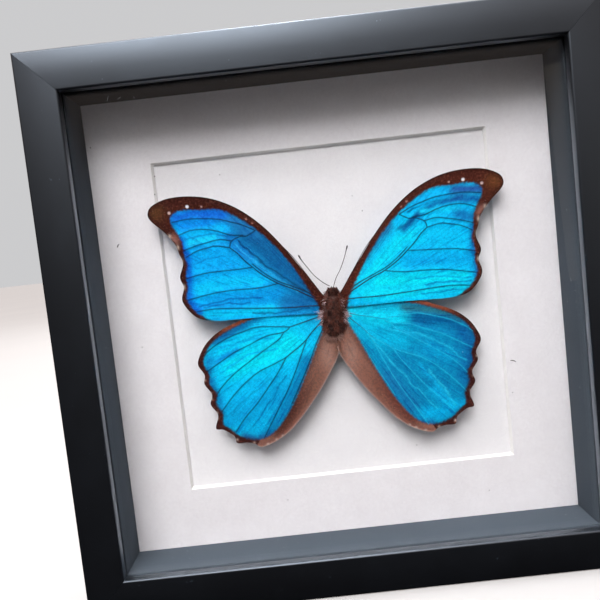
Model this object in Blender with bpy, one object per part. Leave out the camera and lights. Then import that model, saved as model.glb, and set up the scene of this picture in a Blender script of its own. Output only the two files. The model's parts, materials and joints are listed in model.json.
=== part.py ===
"""A blue butterfly specimen in a deep square box frame, standing on its bottom rail and facing -Y.

Lengths are in metres. X runs to the viewer's right, Z up and Y from the front face to the back. The origin
is under the middle of the frame. Depths are counted back from the front face of the rails.
"""

import math

import bmesh
import bpy
from mathutils import Matrix, Vector

MM = 0.001
CLEAR = 0.3 * MM  # gap left between pieces that touch

# Frame moulding
OUTER = 230 * MM  # side of the square frame
DEPTH = 40 * MM  # front face to back edge of a rail
FACE = 16.2 * MM  # width of a rail's front face
LIP = 4.4 * MM  # thickness of the lip in front of the glass
REBATE = 6.2 * MM  # width of the step behind the lip
FRONT_ROUND = 0.9 * MM
BACK_ROUND = 0.5 * MM
SIDES = ("top", "right", "bottom", "left")

# Layers behind the lip, front to back
GLASS = 2.0 * MM
MAT_FRONT = 27.5 * MM
MAT = 1.5 * MM
CARD = 1.2 * MM
PANEL = 3.0 * MM
SHEET = OUTER - 2 * (FACE - REBATE) - 2 * CLEAR  # side of the glass, mat, card and panel
SPACER = REBATE - 2 * CLEAR  # thickness of a spacer strip
WINDOW = 144.8 * MM  # side of the mat's window at its front edge
WINDOW_DROP = 0.8 * MM  # the window's centre sits this far below the frame's

# Back fittings
TAB_WIDTH = 8 * MM
TAB_THICK = 0.6 * MM
TAB_INSIDE = 3 * MM  # how far a tab goes into the rail
TAB_REACH = 13 * MM  # how far a tab reaches over the panel
TAB_OFFSET = 52 * MM  # from the middle of a rail to each of its two tabs
HANGER_SIZE = Vector((46 * MM, 0.8 * MM, 7.6 * MM))
HANGER_TEETH = 9
TOOTH = 1.8 * MM
NAIL_OFFSET = 19.5 * MM
NAIL_HEAD = 1.5 * MM  # radius
NAIL_DOME = 0.7 * MM
NAIL_SHANK = 0.55 * MM
NAIL_LENGTH = 8 * MM

# Butterfly
BODY = Vector((-1.1 * MM, 0.0, 115.0 * MM))  # middle of the thorax, its depth given below
BODY_DEPTH = 23.0 * MM
BODY_LEAN = 4.5  # degrees, head to the right
BODY_SQUASH = 1.05  # the thorax is a little deeper than it is wide
EYE = 1.25 * MM  # radius
FOREWING_DEPTH = 20.6 * MM
WING = 0.4 * MM  # thickness of a wing's solid
GLUE = 3.2 * MM  # radius of the dab that holds the thorax to the card
ANTENNA = 0.28 * MM  # radius of a feeler's shaft

CENTRE = Vector((0.0, 0.0, OUTER / 2))
PROUD = CLEAR + HANGER_SIZE.y + NAIL_DOME  # what stands behind the rails
FRONT_Y = -(DEPTH + PROUD) / 2


def material(name, colour, roughness, metallic=0.0, alpha=1.0):
    """A plain Principled BSDF finish."""
    made = bpy.data.materials.new(name)
    made.use_nodes = True
    shader = made.node_tree.nodes["Principled BSDF"]
    shader.inputs["Base Color"].default_value = (*colour, 1.0)
    shader.inputs["Roughness"].default_value = roughness
    shader.inputs["Metallic"].default_value = metallic
    shader.inputs["Alpha"].default_value = alpha
    return made


def at_depth(depth):
    """The Y coordinate of a depth behind the front face."""
    return FRONT_Y + depth


def add_object(name, bm, finish, location=(0, 0, 0), turn=0.0):
    """Link a bmesh to the scene as one object, turned about Y."""
    bmesh.ops.recalc_face_normals(bm, faces=bm.faces)
    mesh = bpy.data.meshes.new(name)
    bm.to_mesh(mesh)
    bm.free()
    mesh.materials.append(finish)
    return place(name, mesh, location, turn)


def place(name, mesh, location, turn):
    """Put a mesh in the scene under a name."""
    obj = bpy.data.objects.new(name, mesh)
    obj.location = location
    obj.rotation_euler = (0, turn, 0)
    bpy.context.collection.objects.link(obj)
    return obj


def smooth(obj, degrees=35):
    """Shade an object smooth and keep its sharp edges."""
    obj.data.shade_smooth()
    obj.data.set_sharp_from_angle(angle=math.radians(degrees))


def cutter(name, bm, location=(0, 0, 0), turn=0.0):
    """A hidden solid that a Boolean takes away."""
    made = add_object(name, bm, FINISHES["steel"], location, turn)
    made.hide_render = True
    made.display_type = "WIRE"
    return made


def cut(obj, tool):
    """Take a cutter out of an object."""
    boolean = obj.modifiers.new("cut " + tool.name, "BOOLEAN")
    boolean.operation = "DIFFERENCE"
    boolean.solver = "EXACT"
    boolean.object = tool


def box(bm, low, high):
    """Add a closed box between two corners."""
    low, high = Vector(low), Vector(high)
    spread = Matrix.Diagonal((*(high - low), 1.0))
    bmesh.ops.create_cube(bm, size=1.0, matrix=Matrix.Translation((low + high) / 2) @ spread)


def extruded(outline, front, back):
    """A plate from an outline of (x, z) points, between two depths."""
    bm = bmesh.new()
    face = bm.faces.new([bm.verts.new((x, at_depth(front), z)) for x, z in outline])
    grown = bmesh.ops.extrude_face_region(bm, geom=[face])["geom"]
    moved = [v for v in grown if isinstance(v, bmesh.types.BMVert)]
    bmesh.ops.translate(bm, verts=moved, vec=(0, back - front, 0))
    return bm


def square(side):
    """The four corners of a square about the frame's centre, as (x, z) points."""
    half = side / 2
    return [(sx * half, sz * half) for sx, sz in ((-1, -1), (1, -1), (1, 1), (-1, 1))]


def mitred_strip(profile, rounded):
    """A top strip with 45 degree ends, about the frame's centre.

    profile holds (inset, depth) points, where inset runs in from the frame's outer edge. rounded maps a
    profile point to the radius of the long edge that stands on it.
    """
    bm = bmesh.new()
    gap = CLEAR / 2 * math.sqrt(2)

    def end(side):
        return [Vector((side * (OUTER / 2 - inset - gap), at_depth(depth), OUTER / 2 - inset))
                for inset, depth in profile]

    face = bm.faces.new([bm.verts.new(point) for point in end(-1)])
    grown = bmesh.ops.extrude_face_region(bm, geom=[face])["geom"]
    for vert in (v for v in grown if isinstance(v, bmesh.types.BMVert)):
        vert.co.x = -vert.co.x
    for (inset, depth), radius in rounded.items():
        edges = [e for e in bm.edges
                 if abs(e.verts[0].co.x - e.verts[1].co.x) > OUTER / 2
                 and abs(e.verts[0].co.y - at_depth(depth)) < 1e-6
                 and abs(e.verts[0].co.z - (OUTER / 2 - inset)) < 1e-6]
        bmesh.ops.bevel(bm, geom=edges, offset=radius, segments=3, profile=0.5, affect="EDGES")
    return bm


def build_rails():
    """Four mitred rails with a lip in front and a step behind it, slotted for the tabs."""
    wall = FACE - REBATE
    profile = [(0, 0), (FACE, 0), (FACE, LIP), (wall, LIP), (wall, DEPTH), (0, DEPTH)]
    rounded = {(0, 0): FRONT_ROUND, (FACE, 0): FRONT_ROUND, (wall, DEPTH): BACK_ROUND, (0, DEPTH): BACK_ROUND}
    for turns, side in enumerate(SIDES):
        turn = turns * math.pi / 2
        bm = mitred_strip(profile, rounded)
        rail = add_object("frame_rail_" + side, bm, FINISHES["black wood"], CENTRE, turn)
        slots = bmesh.new()
        room = Vector((TAB_WIDTH / 2 + CLEAR, CLEAR, TAB_INSIDE + CLEAR))
        for x in (-TAB_OFFSET, TAB_OFFSET):
            edge = OUTER / 2 - wall
            low = (x - room.x, at_depth(TAB_DEPTH) - room.y, edge - MM)
            high = (x + room.x, at_depth(TAB_DEPTH) + TAB_THICK + room.y, edge + room.z)
            box(slots, low, high)
        cut(rail, cutter("tab_slots_" + side, slots, CENTRE, turn))
        if side == "top":
            cut(rail, nail_holes("nail_holes_rail"))
        smooth(rail)


def build_spacers():
    """Four mitred strips between the glass and the mat, flush with the lip."""
    outside = FACE - CLEAR - SPACER
    front, back = SPACER_FRONT, MAT_FRONT - CLEAR
    profile = [(outside, front), (FACE, front), (FACE, back), (outside, back)]
    rounded = {(FACE, front): 0.3 * MM, (FACE, back): 0.2 * MM}
    for turns, side in enumerate(SIDES):
        bm = mitred_strip(profile, rounded)
        strip = add_object("spacer_strip_" + side, bm, FINISHES["slate"], CENTRE, turns * math.pi / 2)
        smooth(strip)


def build_sheets():
    """The glass, the mat with its bevelled window, the card and the back panel."""
    glass = extruded(square(SHEET), LIP + CLEAR, LIP + CLEAR + GLASS)
    add_object("glass_pane", glass, FINISHES["glass"], CENTRE)
    mat = extruded(square(SHEET), MAT_FRONT, MAT_FRONT + MAT)
    mat = add_object("mat_board", mat, FINISHES["mat white"], CENTRE)
    cut(mat, window_cutter())
    card = extruded(square(SHEET), CARD_FRONT, CARD_FRONT + CARD)
    add_object("backing_card", card, FINISHES["card white"], CENTRE)
    panel = extruded(square(SHEET), PANEL_FRONT, PANEL_FRONT + PANEL)
    add_object("back_panel", panel, FINISHES["hardboard"], CENTRE)


def window_cutter():
    """A tapered plug that cuts the mat's window with 45 degree walls, narrower at the back."""
    bm = bmesh.new()
    over = MM
    rings = []
    for depth in (MAT_FRONT - over, MAT_FRONT + MAT + over):
        half = WINDOW / 2 - (depth - MAT_FRONT)
        corners = ((-half, -half), (half, -half), (half, half), (-half, half))
        rings.append([bm.verts.new((x, at_depth(depth), z - WINDOW_DROP)) for x, z in corners])
    bm.faces.new(rings[0])
    bm.faces.new(reversed(rings[1]))
    for i in range(4):
        j = (i + 1) % 4
        bm.faces.new((rings[0][i], rings[1][i], rings[1][j], rings[0][j]))
    return cutter("mat_window_cutter", bm, CENTRE)


def build_tabs():
    """Two flat steel tabs in each rail, over the edge of the back panel."""
    wall = FACE - REBATE
    low_z = OUTER / 2 - wall - TAB_REACH
    high_z = OUTER / 2 - wall + TAB_INSIDE
    for turns, side in enumerate(SIDES):
        for number, x in enumerate((-TAB_OFFSET, TAB_OFFSET), start=1):
            bm = bmesh.new()
            low = (x - TAB_WIDTH / 2, at_depth(TAB_DEPTH), low_z)
            high = (x + TAB_WIDTH / 2, at_depth(TAB_DEPTH) + TAB_THICK, high_z)
            box(bm, low, high)
            tips = [e for e in bm.edges
                    if abs(e.verts[0].co.y - e.verts[1].co.y) > TAB_THICK / 2
                    and e.verts[0].co.z < low_z + MM]
            bmesh.ops.bevel(bm, geom=tips, offset=TAB_WIDTH * 0.42, segments=4, profile=0.5, affect="EDGES")
            name = f"retaining_tab_{side}_{number}"
            smooth(add_object(name, bm, FINISHES["steel"], CENTRE, turns * math.pi / 2))


def nail_holes(name):
    """A cutter for the two nail holes of the hanger."""
    bm = bmesh.new()
    deep = NAIL_LENGTH + 2 * MM
    for x in (-NAIL_OFFSET, NAIL_OFFSET):
        middle = Matrix.Translation((x, at_depth(DEPTH) + 2 * MM - deep / 2, NAIL_Z))
        lie = Matrix.Rotation(math.pi / 2, 4, "X")
        radius = NAIL_SHANK + CLEAR
        bmesh.ops.create_cone(bm, cap_ends=True, segments=16, radius1=radius, radius2=radius,
                              depth=deep, matrix=middle @ lie)
    return cutter(name, bm, CENTRE)


def build_hanger():
    """A sawtooth hanger on the back of the top rail, with its two nails."""
    width, thick, height = HANGER_SIZE
    top = NAIL_Z + height / 2
    outline = [(-width / 2, NAIL_Z), (-width / 2 + 2 * MM, top),
               (width / 2 - 2 * MM, top), (width / 2, NAIL_Z)]
    span = (width - 14 * MM) / HANGER_TEETH
    start = HANGER_TEETH * span / 2
    outline.append((start + 2 * MM, NAIL_Z - height / 2))
    for tooth in range(HANGER_TEETH):
        x = start - tooth * span
        outline.append((x, NAIL_Z - height / 2))
        outline.append((x - span / 2, NAIL_Z - height / 2 + TOOTH))
    outline += [(-start, NAIL_Z - height / 2), (-start - 2 * MM, NAIL_Z - height / 2)]
    plate = extruded(outline, DEPTH + CLEAR, DEPTH + CLEAR + thick)
    hanger = add_object("sawtooth_hanger", plate, FINISHES["brass"], CENTRE)
    cut(hanger, nail_holes("nail_holes_hanger"))
    for name, x in (("hanger_nail_left", NAIL_OFFSET), ("hanger_nail_right", -NAIL_OFFSET)):
        head = DEPTH + CLEAR + thick + CLEAR
        profile = [(0, head + NAIL_DOME), (NAIL_HEAD * 0.6, head + NAIL_DOME * 0.85),
                   (NAIL_HEAD, head + 0.15 * MM), (NAIL_HEAD, head), (NAIL_SHANK, head),
                   (NAIL_SHANK, DEPTH - NAIL_LENGTH + MM), (0, DEPTH - NAIL_LENGTH)]
        nail = add_object(name, turned(profile, 16), FINISHES["brass"], CENTRE + Vector((x, 0, NAIL_Z)))
        smooth(nail)


def turned(profile, steps):
    """A solid turned about the Y direction from (radius, depth) points that begin and end on the axis."""
    bm = bmesh.new()
    verts = [bm.verts.new((radius, at_depth(depth), 0)) for radius, depth in profile]
    edges = [bm.edges.new(pair) for pair in zip(verts, verts[1:])]
    bmesh.ops.spin(bm, geom=verts + edges, cent=(0, 0, 0), axis=(0, 1, 0), angle=2 * math.pi, steps=steps,
                   use_merge=True)
    bmesh.ops.remove_doubles(bm, verts=bm.verts, dist=1e-6)
    return bm


# (radius, height above the middle of the thorax) in millimetres, from the tip of the thorax to the brow
BODY_PROFILE = [(0, -12.4), (1.3, -11.7), (2.8, -10.2), (3.9, -8.2), (4.5, -5.0), (4.6, 0.0), (4.0, 3.2),
                (2.9, 5.4), (2.1, 6.6), (2.2, 7.6), (2.2, 9.0), (1.5, 10.2), (0, 10.6)]


def body_turn():
    """The lean of the body, about its middle."""
    return Matrix.Rotation(math.radians(BODY_LEAN), 4, "Y")


def build_body():
    """Head, thorax and two eyes, which grew as one piece, and the glue behind them."""
    bm = bmesh.new()
    verts = [bm.verts.new((radius * MM, 0, height * MM)) for radius, height in BODY_PROFILE]
    edges = [bm.edges.new(pair) for pair in zip(verts, verts[1:])]
    bmesh.ops.spin(bm, geom=verts + edges, cent=(0, 0, 0), axis=(0, 0, 1), angle=2 * math.pi, steps=20,
                   use_merge=True)
    bmesh.ops.remove_doubles(bm, verts=bm.verts, dist=1e-6)
    bmesh.ops.scale(bm, verts=bm.verts, vec=(1, BODY_SQUASH, 1))
    bm.transform(body_turn())
    centre = BODY + Vector((0, at_depth(BODY_DEPTH), 0))
    body = add_object("butterfly_body", bm, FINISHES["brown fur"], centre)
    for side in (-1, 1):
        bm = bmesh.new()
        where = body_turn() @ Matrix.Translation((side * 1.75 * MM, -0.3 * MM, 8.3 * MM))
        bmesh.ops.create_icosphere(bm, subdivisions=2, radius=EYE, matrix=where)
        eye = cutter(f"eye_{'left' if side < 0 else 'right'}", bm, centre)
        join = body.modifiers.new("eye", "BOOLEAN")
        join.operation = "UNION"
        join.solver = "EXACT"
        join.object = eye
    smooth(body, 60)
    front = BODY_DEPTH + 4.6 * MM * BODY_SQUASH + CLEAR
    glue = turned([(0, CARD_FRONT - CLEAR), (GLUE, CARD_FRONT - CLEAR), (GLUE * 0.9, front), (0, front)], 16)
    smooth(add_object("glue_dab", glue, FINISHES["glue"], (BODY.x, 0, BODY.z)))


def smooth_outline(points, steps):
    """A closed Catmull-Rom curve through (x, z) points, with steps points to a span and corners where a
    point is given twice."""
    count = len(points)
    outline = []
    for i in range(count):
        before, start, finish, after = (Vector(points[(i + k) % count]) for k in (-1, 0, 1, 2))
        if start == finish:
            continue
        for step in range(steps):
            t = step / steps
            outline.append(0.5 * (2 * start + (finish - before) * t
                                  + (2 * before - 5 * start + 4 * finish - after) * t ** 2
                                  + (3 * start - before - 3 * finish + after) * t ** 3))
    return outline


# Outlines of the wings, in millimetres outwards and up from the thorax
FOREWING = [(3.2, 7.0), (3.2, 7.0), (12.0, 19.8), (21.0, 32.3), (29.0, 41.2), (38.0, 48.2), (48.0, 52.8),
            (58.0, 54.6), (67.0, 54.2), (73.2, 51.8), (75.3, 48.8), (74.4, 45.6), (69.2, 40.4), (65.0, 35.0),
            (63.8, 31.2), (62.4, 26.4), (64.2, 20.8), (63.0, 16.4), (64.2, 11.0), (61.4, 5.8), (57.2, 2.4),
            (50.0, 1.0), (38.0, 1.0), (24.0, 1.0), (3.0, 0.2), (3.0, 0.2)]
HINDWING = [(3.0, 3.0), (3.0, 3.0), (22.0, 3.4), (36.0, 1.6), (42.0, -0.6), (50.4, -4.0), (56.2, -8.4),
            (59.6, -13.2), (61.1, -17.8), (59.3, -22.6), (59.0, -26.4), (57.0, -31.0), (57.2, -35.4),
            (55.3, -40.2), (56.0, -46.0), (53.2, -47.4), (49.0, -50.6), (47.4, -53.4), (43.4, -54.2),
            (40.0, -54.6), (37.4, -56.2), (32.8, -55.1), (26.7, -52.0), (22.0, -48.2), (16.0, -41.6),
            (9.6, -33.0), (4.8, -25.0), (1.8, -18.6), (0.5, -14.0), (0.5, -9.0), (0.5, -9.0)]
# Each pair is set a little askew: turn in degrees and shift in millimetres, for the right side
FORE_SET = (-1.6, 0.3, 0.9)
HIND_SET = (-1.0, 1.0, -0.1)


def build_wings():
    """Two forewings, each lying over the hindwing behind it, trimmed round the thorax."""
    trim = thorax_cutter()
    back = FOREWING_DEPTH + WING + CLEAR
    for kind, points, depth, askew in (("forewing", FOREWING, FOREWING_DEPTH, FORE_SET),
                                       ("hindwing", HINDWING, back, HIND_SET)):
        outline = smooth_outline(points, 3)
        degrees, out, up = askew
        for name, side in (("left", -1), ("right", 1)):
            turn = Matrix.Rotation(math.radians(side * degrees), 2)
            placed = [turn @ point + side * Vector((out, up)) for point in outline]
            placed = [(BODY.x + side * point.x * MM, BODY.z + point.y * MM) for point in placed]
            wing = add_object(f"{kind}_{name}", extruded(placed, depth, depth + WING), FINISHES["wing blue"])
            cut(wing, trim)


def thorax_cutter():
    """A plug with the outline of the body and a little room, which trims the roots of the wings."""
    right = [((radius + 0.32) * MM if radius else 0.0, height * MM) for radius, height in BODY_PROFILE]
    right[0] = (0.0, right[0][1] - 0.45 * MM)
    outline = right + [(-x, z) for x, z in reversed(right[1:-1])]
    turn = Matrix.Rotation(math.radians(-BODY_LEAN), 2)
    placed = [turn @ Vector(point) + Vector((BODY.x, BODY.z)) for point in outline]
    return cutter("thorax_cutter", extruded(placed, FOREWING_DEPTH - MM, FOREWING_DEPTH + 4 * MM))


# Feelers, each as (x, height) from the middle of the thorax in millimetres, from the brow to the club
FEELERS = {
    "left": [(-0.4, 11.0), (-3.2, 13.0), (-6.4, 16.2), (-9.0, 20.0), (-11.2, 23.4), (-12.2, 25.6)],
    "right": [(1.4, 11.0), (2.6, 14.0), (4.8, 17.6), (6.8, 21.8), (8.2, 25.6), (8.8, 27.4)],
}


def build_antennae():
    """Two thin feelers that end in a slender club."""
    for side, route in FEELERS.items():
        curve = bpy.data.curves.new("antenna_" + side, "CURVE")
        curve.dimensions = "3D"
        curve.bevel_depth = ANTENNA
        curve.bevel_resolution = 1
        curve.use_fill_caps = True
        curve.resolution_u = 3
        spline = curve.splines.new("NURBS")
        spline.points.add(len(route) - 1)
        spline.order_u = 3
        spline.use_endpoint_u = True
        for i, (point, (x, up)) in enumerate(zip(spline.points, route)):
            depth = BODY_DEPTH - (1.2 + i * 0.3) * MM
            point.co = (BODY.x + x * MM, at_depth(depth), BODY.z + up * MM, 1)
            point.radius = 1.5 if i >= len(route) - 2 else 1.0
        curve.materials.append(FINISHES["brown fur"])
        place("antenna_" + side, curve, (0, 0, 0), 0.0)


SPACER_FRONT = LIP + GLASS + 2 * CLEAR
CARD_FRONT = MAT_FRONT + MAT + CLEAR
PANEL_FRONT = CARD_FRONT + CARD + CLEAR
TAB_DEPTH = PANEL_FRONT + PANEL + CLEAR
NAIL_Z = OUTER / 2 - (FACE - REBATE) / 2

for thing in list(bpy.data.objects):
    bpy.data.objects.remove(thing)

FINISHES = {
    "black wood": material("black wood", (0.012, 0.013, 0.017), 0.38),
    "slate": material("slate", (0.05, 0.058, 0.07), 0.5),
    "glass": material("glass", (0.9, 0.95, 0.95), 0.03, alpha=0.15),
    "mat white": material("mat white", (0.80, 0.79, 0.80), 0.9),
    "card white": material("card white", (0.84, 0.83, 0.84), 0.85),
    "hardboard": material("hardboard", (0.23, 0.13, 0.07), 0.8),
    "steel": material("steel", (0.55, 0.55, 0.57), 0.35, 1.0),
    "brass": material("brass", (0.70, 0.52, 0.24), 0.35, 1.0),
    "brown fur": material("brown fur", (0.055, 0.022, 0.014), 0.85),
    "glue": material("glue", (0.75, 0.70, 0.58), 0.4),
    "wing blue": material("wing blue", (0.01, 0.30, 0.72), 0.35),
}

build_rails()
build_spacers()
build_sheets()
build_tabs()
build_hanger()
build_body()
build_wings()
build_antennae()
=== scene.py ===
"""Looks of a blue butterfly specimen in a deep black box frame.

The frame stands on its bottom rail and faces -Y, with Z up and lengths in metres. Sizes that the solids
already hold are read from them, and the rest are fields of the class that builds each sub-assembly.
"""

import json
import logging
import math
from dataclasses import dataclass, field
from enum import Enum
from typing import Callable, Sequence

import bmesh
import bpy
import numpy as np
from mathutils import Matrix, Vector

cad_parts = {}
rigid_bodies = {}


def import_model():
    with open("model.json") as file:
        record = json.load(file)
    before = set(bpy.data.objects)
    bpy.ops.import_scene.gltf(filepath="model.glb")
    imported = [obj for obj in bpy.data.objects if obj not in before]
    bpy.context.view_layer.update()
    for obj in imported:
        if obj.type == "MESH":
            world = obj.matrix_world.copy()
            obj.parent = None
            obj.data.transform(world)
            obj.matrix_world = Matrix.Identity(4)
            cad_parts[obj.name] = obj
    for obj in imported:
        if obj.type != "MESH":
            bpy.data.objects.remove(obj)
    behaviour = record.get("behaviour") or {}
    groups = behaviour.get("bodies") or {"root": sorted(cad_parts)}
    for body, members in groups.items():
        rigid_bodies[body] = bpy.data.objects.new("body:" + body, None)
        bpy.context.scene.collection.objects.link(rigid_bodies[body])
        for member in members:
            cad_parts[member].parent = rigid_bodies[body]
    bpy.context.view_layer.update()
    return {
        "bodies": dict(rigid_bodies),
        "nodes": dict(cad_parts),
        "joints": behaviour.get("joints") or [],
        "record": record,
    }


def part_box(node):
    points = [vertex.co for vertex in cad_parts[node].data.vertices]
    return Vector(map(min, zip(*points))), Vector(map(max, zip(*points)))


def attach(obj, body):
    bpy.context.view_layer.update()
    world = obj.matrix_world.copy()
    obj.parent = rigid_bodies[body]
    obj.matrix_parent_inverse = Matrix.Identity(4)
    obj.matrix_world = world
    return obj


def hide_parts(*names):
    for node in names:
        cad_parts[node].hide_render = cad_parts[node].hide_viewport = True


MM = 0.001
THORAX = (-1.1 * MM, 0.0, 115.0 * MM)  # where the wings' plans have their origin
SQUARE_ON = 0.9  # a face whose normal has this much of an axis looks along it
log = logging.getLogger("framed_butterfly")

Colour = tuple[float, float, float]
Point = tuple[float, float]


def linear(code: str) -> Colour:
    """Turn a hex colour into linear light.

    Args:
        code: Six hex digits.

    Returns:
        Red, green and blue from 0 to 1.
    """
    levels = [int(code[i:i + 2], 16) / 255 for i in (0, 2, 4)]
    return tuple(v / 12.92 if v <= 0.04045 else ((v + 0.055) / 1.055) ** 2.4 for v in levels)


# ---------------------------------------------------------------- modelling


def clean_slate() -> None:
    """Leave edit mode and deselect every object."""
    if bpy.context.mode != "OBJECT":
        bpy.ops.object.mode_set(mode="OBJECT")
    bpy.ops.object.select_all(action="DESELECT")


def make_active(piece: bpy.types.Object) -> None:
    """Select one object alone.

    Args:
        piece: The object.
    """
    clean_slate()
    piece.select_set(True)
    bpy.context.view_layer.objects.active = piece


def settle(piece: bpy.types.Object) -> None:
    """Put a piece's place, turn and size into its mesh."""
    make_active(piece)
    bpy.ops.object.transform_apply(location=True, rotation=True, scale=True)


def named(name: str) -> bpy.types.Object:
    """Name the object that an operator has just added, and its mesh.

    Args:
        name: The name.

    Returns:
        The object.
    """
    piece = bpy.context.object
    piece.name = name
    piece.data.name = name
    return piece


def block(name: str, low: Sequence[float], high: Sequence[float]) -> bpy.types.Object:
    """Add a box between two corners.

    Args:
        name: The piece's name.
        low: Lowest corner.
        high: Highest corner.

    Returns:
        The new object, at the origin.
    """
    clean_slate()
    low, high = Vector(low), Vector(high)
    bpy.ops.mesh.primitive_cube_add(size=1.0, location=(low + high) / 2)
    piece = named(name)
    piece.scale = high - low
    settle(piece)
    return piece


def apply_modifier(piece: bpy.types.Object, kind: str, **settings: object) -> None:
    """Add a modifier with its settings and apply it.

    Args:
        piece: The piece that it changes.
        kind: Its type, as Blender names it.
        **settings: Its properties.
    """
    make_active(piece)
    modifier = piece.modifiers.new(kind.lower(), kind)
    for key, value in settings.items():
        setattr(modifier, key, value)
    bpy.ops.object.modifier_apply(modifier=modifier.name)


def soften(piece: bpy.types.Object, degrees: float = 35) -> None:
    """Shade a piece smooth, with its sharp edges kept."""
    make_active(piece)
    bpy.ops.object.shade_smooth_by_angle(angle=math.radians(degrees))


def copy_turned(piece: bpy.types.Object, name: str, turn: Matrix) -> bpy.types.Object:
    """Copy a piece with its own mesh, turned by a matrix.

    Args:
        piece: The piece to copy.
        name: Name of the copy.
        turn: Matrix put into the copy's mesh.

    Returns:
        The copy, at the origin.
    """
    copy = piece.copy()
    copy.data = piece.data.copy()
    copy.name = name
    copy.data.name = name
    bpy.context.collection.objects.link(copy)
    copy.data.transform(turn)
    return copy


def mesh_piece(name: str, verts: np.ndarray, faces: np.ndarray) -> bpy.types.Object:
    """Make a piece from many small copies that were laid out as arrays.

    Args:
        name: The piece's name.
        verts: Vertex positions.
        faces: Vertex numbers of each face.

    Returns:
        The new object.
    """
    mesh = bpy.data.meshes.new(name)
    mesh.from_pydata(verts.tolist(), [], faces.tolist())
    piece = bpy.data.objects.new(name, mesh)
    bpy.context.collection.objects.link(piece)
    return piece


def join(pieces: list[bpy.types.Object], name: str) -> bpy.types.Object:
    """Join pieces into the first of them.

    Args:
        pieces: The pieces to join.
        name: Name of the joined piece.

    Returns:
        The joined piece.
    """
    clean_slate()
    for piece in pieces:
        piece.select_set(True)
    bpy.context.view_layer.objects.active = pieces[0]
    bpy.ops.object.join()
    return named(name)


class Editing:
    """Edit mode on one piece, as a with block, with its parts picked by their place."""

    def __init__(self, piece: bpy.types.Object) -> None:
        """Keep the piece to edit."""
        self.piece = piece

    def __enter__(self) -> "Editing":
        """Enter edit mode.

        Returns:
            This object.
        """
        make_active(self.piece)
        bpy.ops.object.mode_set(mode="EDIT")
        return self

    def __exit__(self, *_: object) -> None:
        """Leave edit mode."""
        bpy.ops.object.mode_set(mode="OBJECT")

    def all(self) -> None:
        """Select everything."""
        bpy.ops.mesh.select_all(action="SELECT")

    def pick(self, mode: str, wanted: Callable[[bmesh.types.BMesh], list]) -> None:
        """Select some of the piece's faces or edges, and nothing else.

        Args:
            mode: FACE or EDGE.
            wanted: Finds the ones to select.
        """
        bpy.ops.mesh.select_mode(type=mode)
        bpy.ops.mesh.select_all(action="DESELECT")
        shape = bmesh.from_edit_mesh(self.piece.data)
        for part in wanted(shape):
            part.select_set(True)
        bmesh.update_edit_mesh(self.piece.data)

    def faces(self, test: Callable[[Vector, Vector], bool]) -> None:
        """Select the faces whose centre and normal pass a test."""
        self.pick("FACE", lambda shape: [f for f in shape.faces if test(f.calc_center_median(), f.normal)])

    def edges(self, test: Callable[[Vector, Vector], bool]) -> None:
        """Select the edges whose two ends pass a test."""
        self.pick("EDGE", lambda shape: [e for e in shape.edges if test(e.verts[0].co, e.verts[1].co)])

    def extrude(self, move: Sequence[float]) -> None:
        """Extrude what is selected."""
        bpy.ops.mesh.extrude_region_move(TRANSFORM_OT_translate={"value": tuple(move)})

    def move(self, by: Sequence[float]) -> None:
        """Move what is selected."""
        bpy.ops.transform.translate(value=tuple(by))

    def resize(self, factors: Sequence[float], centre: Sequence[float]) -> None:
        """Scale what is selected about a point."""
        bpy.ops.transform.resize(value=tuple(factors), center_override=tuple(centre))

    def cut(self, point: Sequence[float], normal: Sequence[float], drop: bool = False) -> None:
        """Cut the whole piece along a plane.

        Args:
            point: A point of the plane.
            normal: The plane's normal.
            drop: Whether what lies on the normal's side is dropped and the cut is closed.
        """
        self.all()
        bpy.ops.mesh.bisect(plane_co=tuple(point), plane_no=tuple(normal), clear_outer=drop, use_fill=drop)

    def bevel(self, width: float, segments: int) -> None:
        """Round the selected edges."""
        bpy.ops.mesh.bevel(offset=width, segments=segments, affect="EDGES", profile=0.5)

    def recalculate(self) -> None:
        """Point every face outwards."""
        self.all()
        bpy.ops.mesh.normals_make_consistent(inside=False)


def near(a: float, b: float, room: float = 0.05 * MM) -> bool:
    """Whether two lengths are the same within some room."""
    return abs(a - b) < room


def ease(low: float, high: float, value: np.ndarray) -> np.ndarray:
    """Smooth step of an array from 0 at low to 1 at high."""
    t = np.clip((value - low) / (high - low), 0, 1)
    return t * t * (3 - 2 * t)


def bell(away: np.ndarray, width: float) -> np.ndarray:
    """Bell curve that is 1 at no distance and fades over a width."""
    return np.exp(-(away / width) ** 2)


# ---------------------------------------------------------------- finishes


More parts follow.
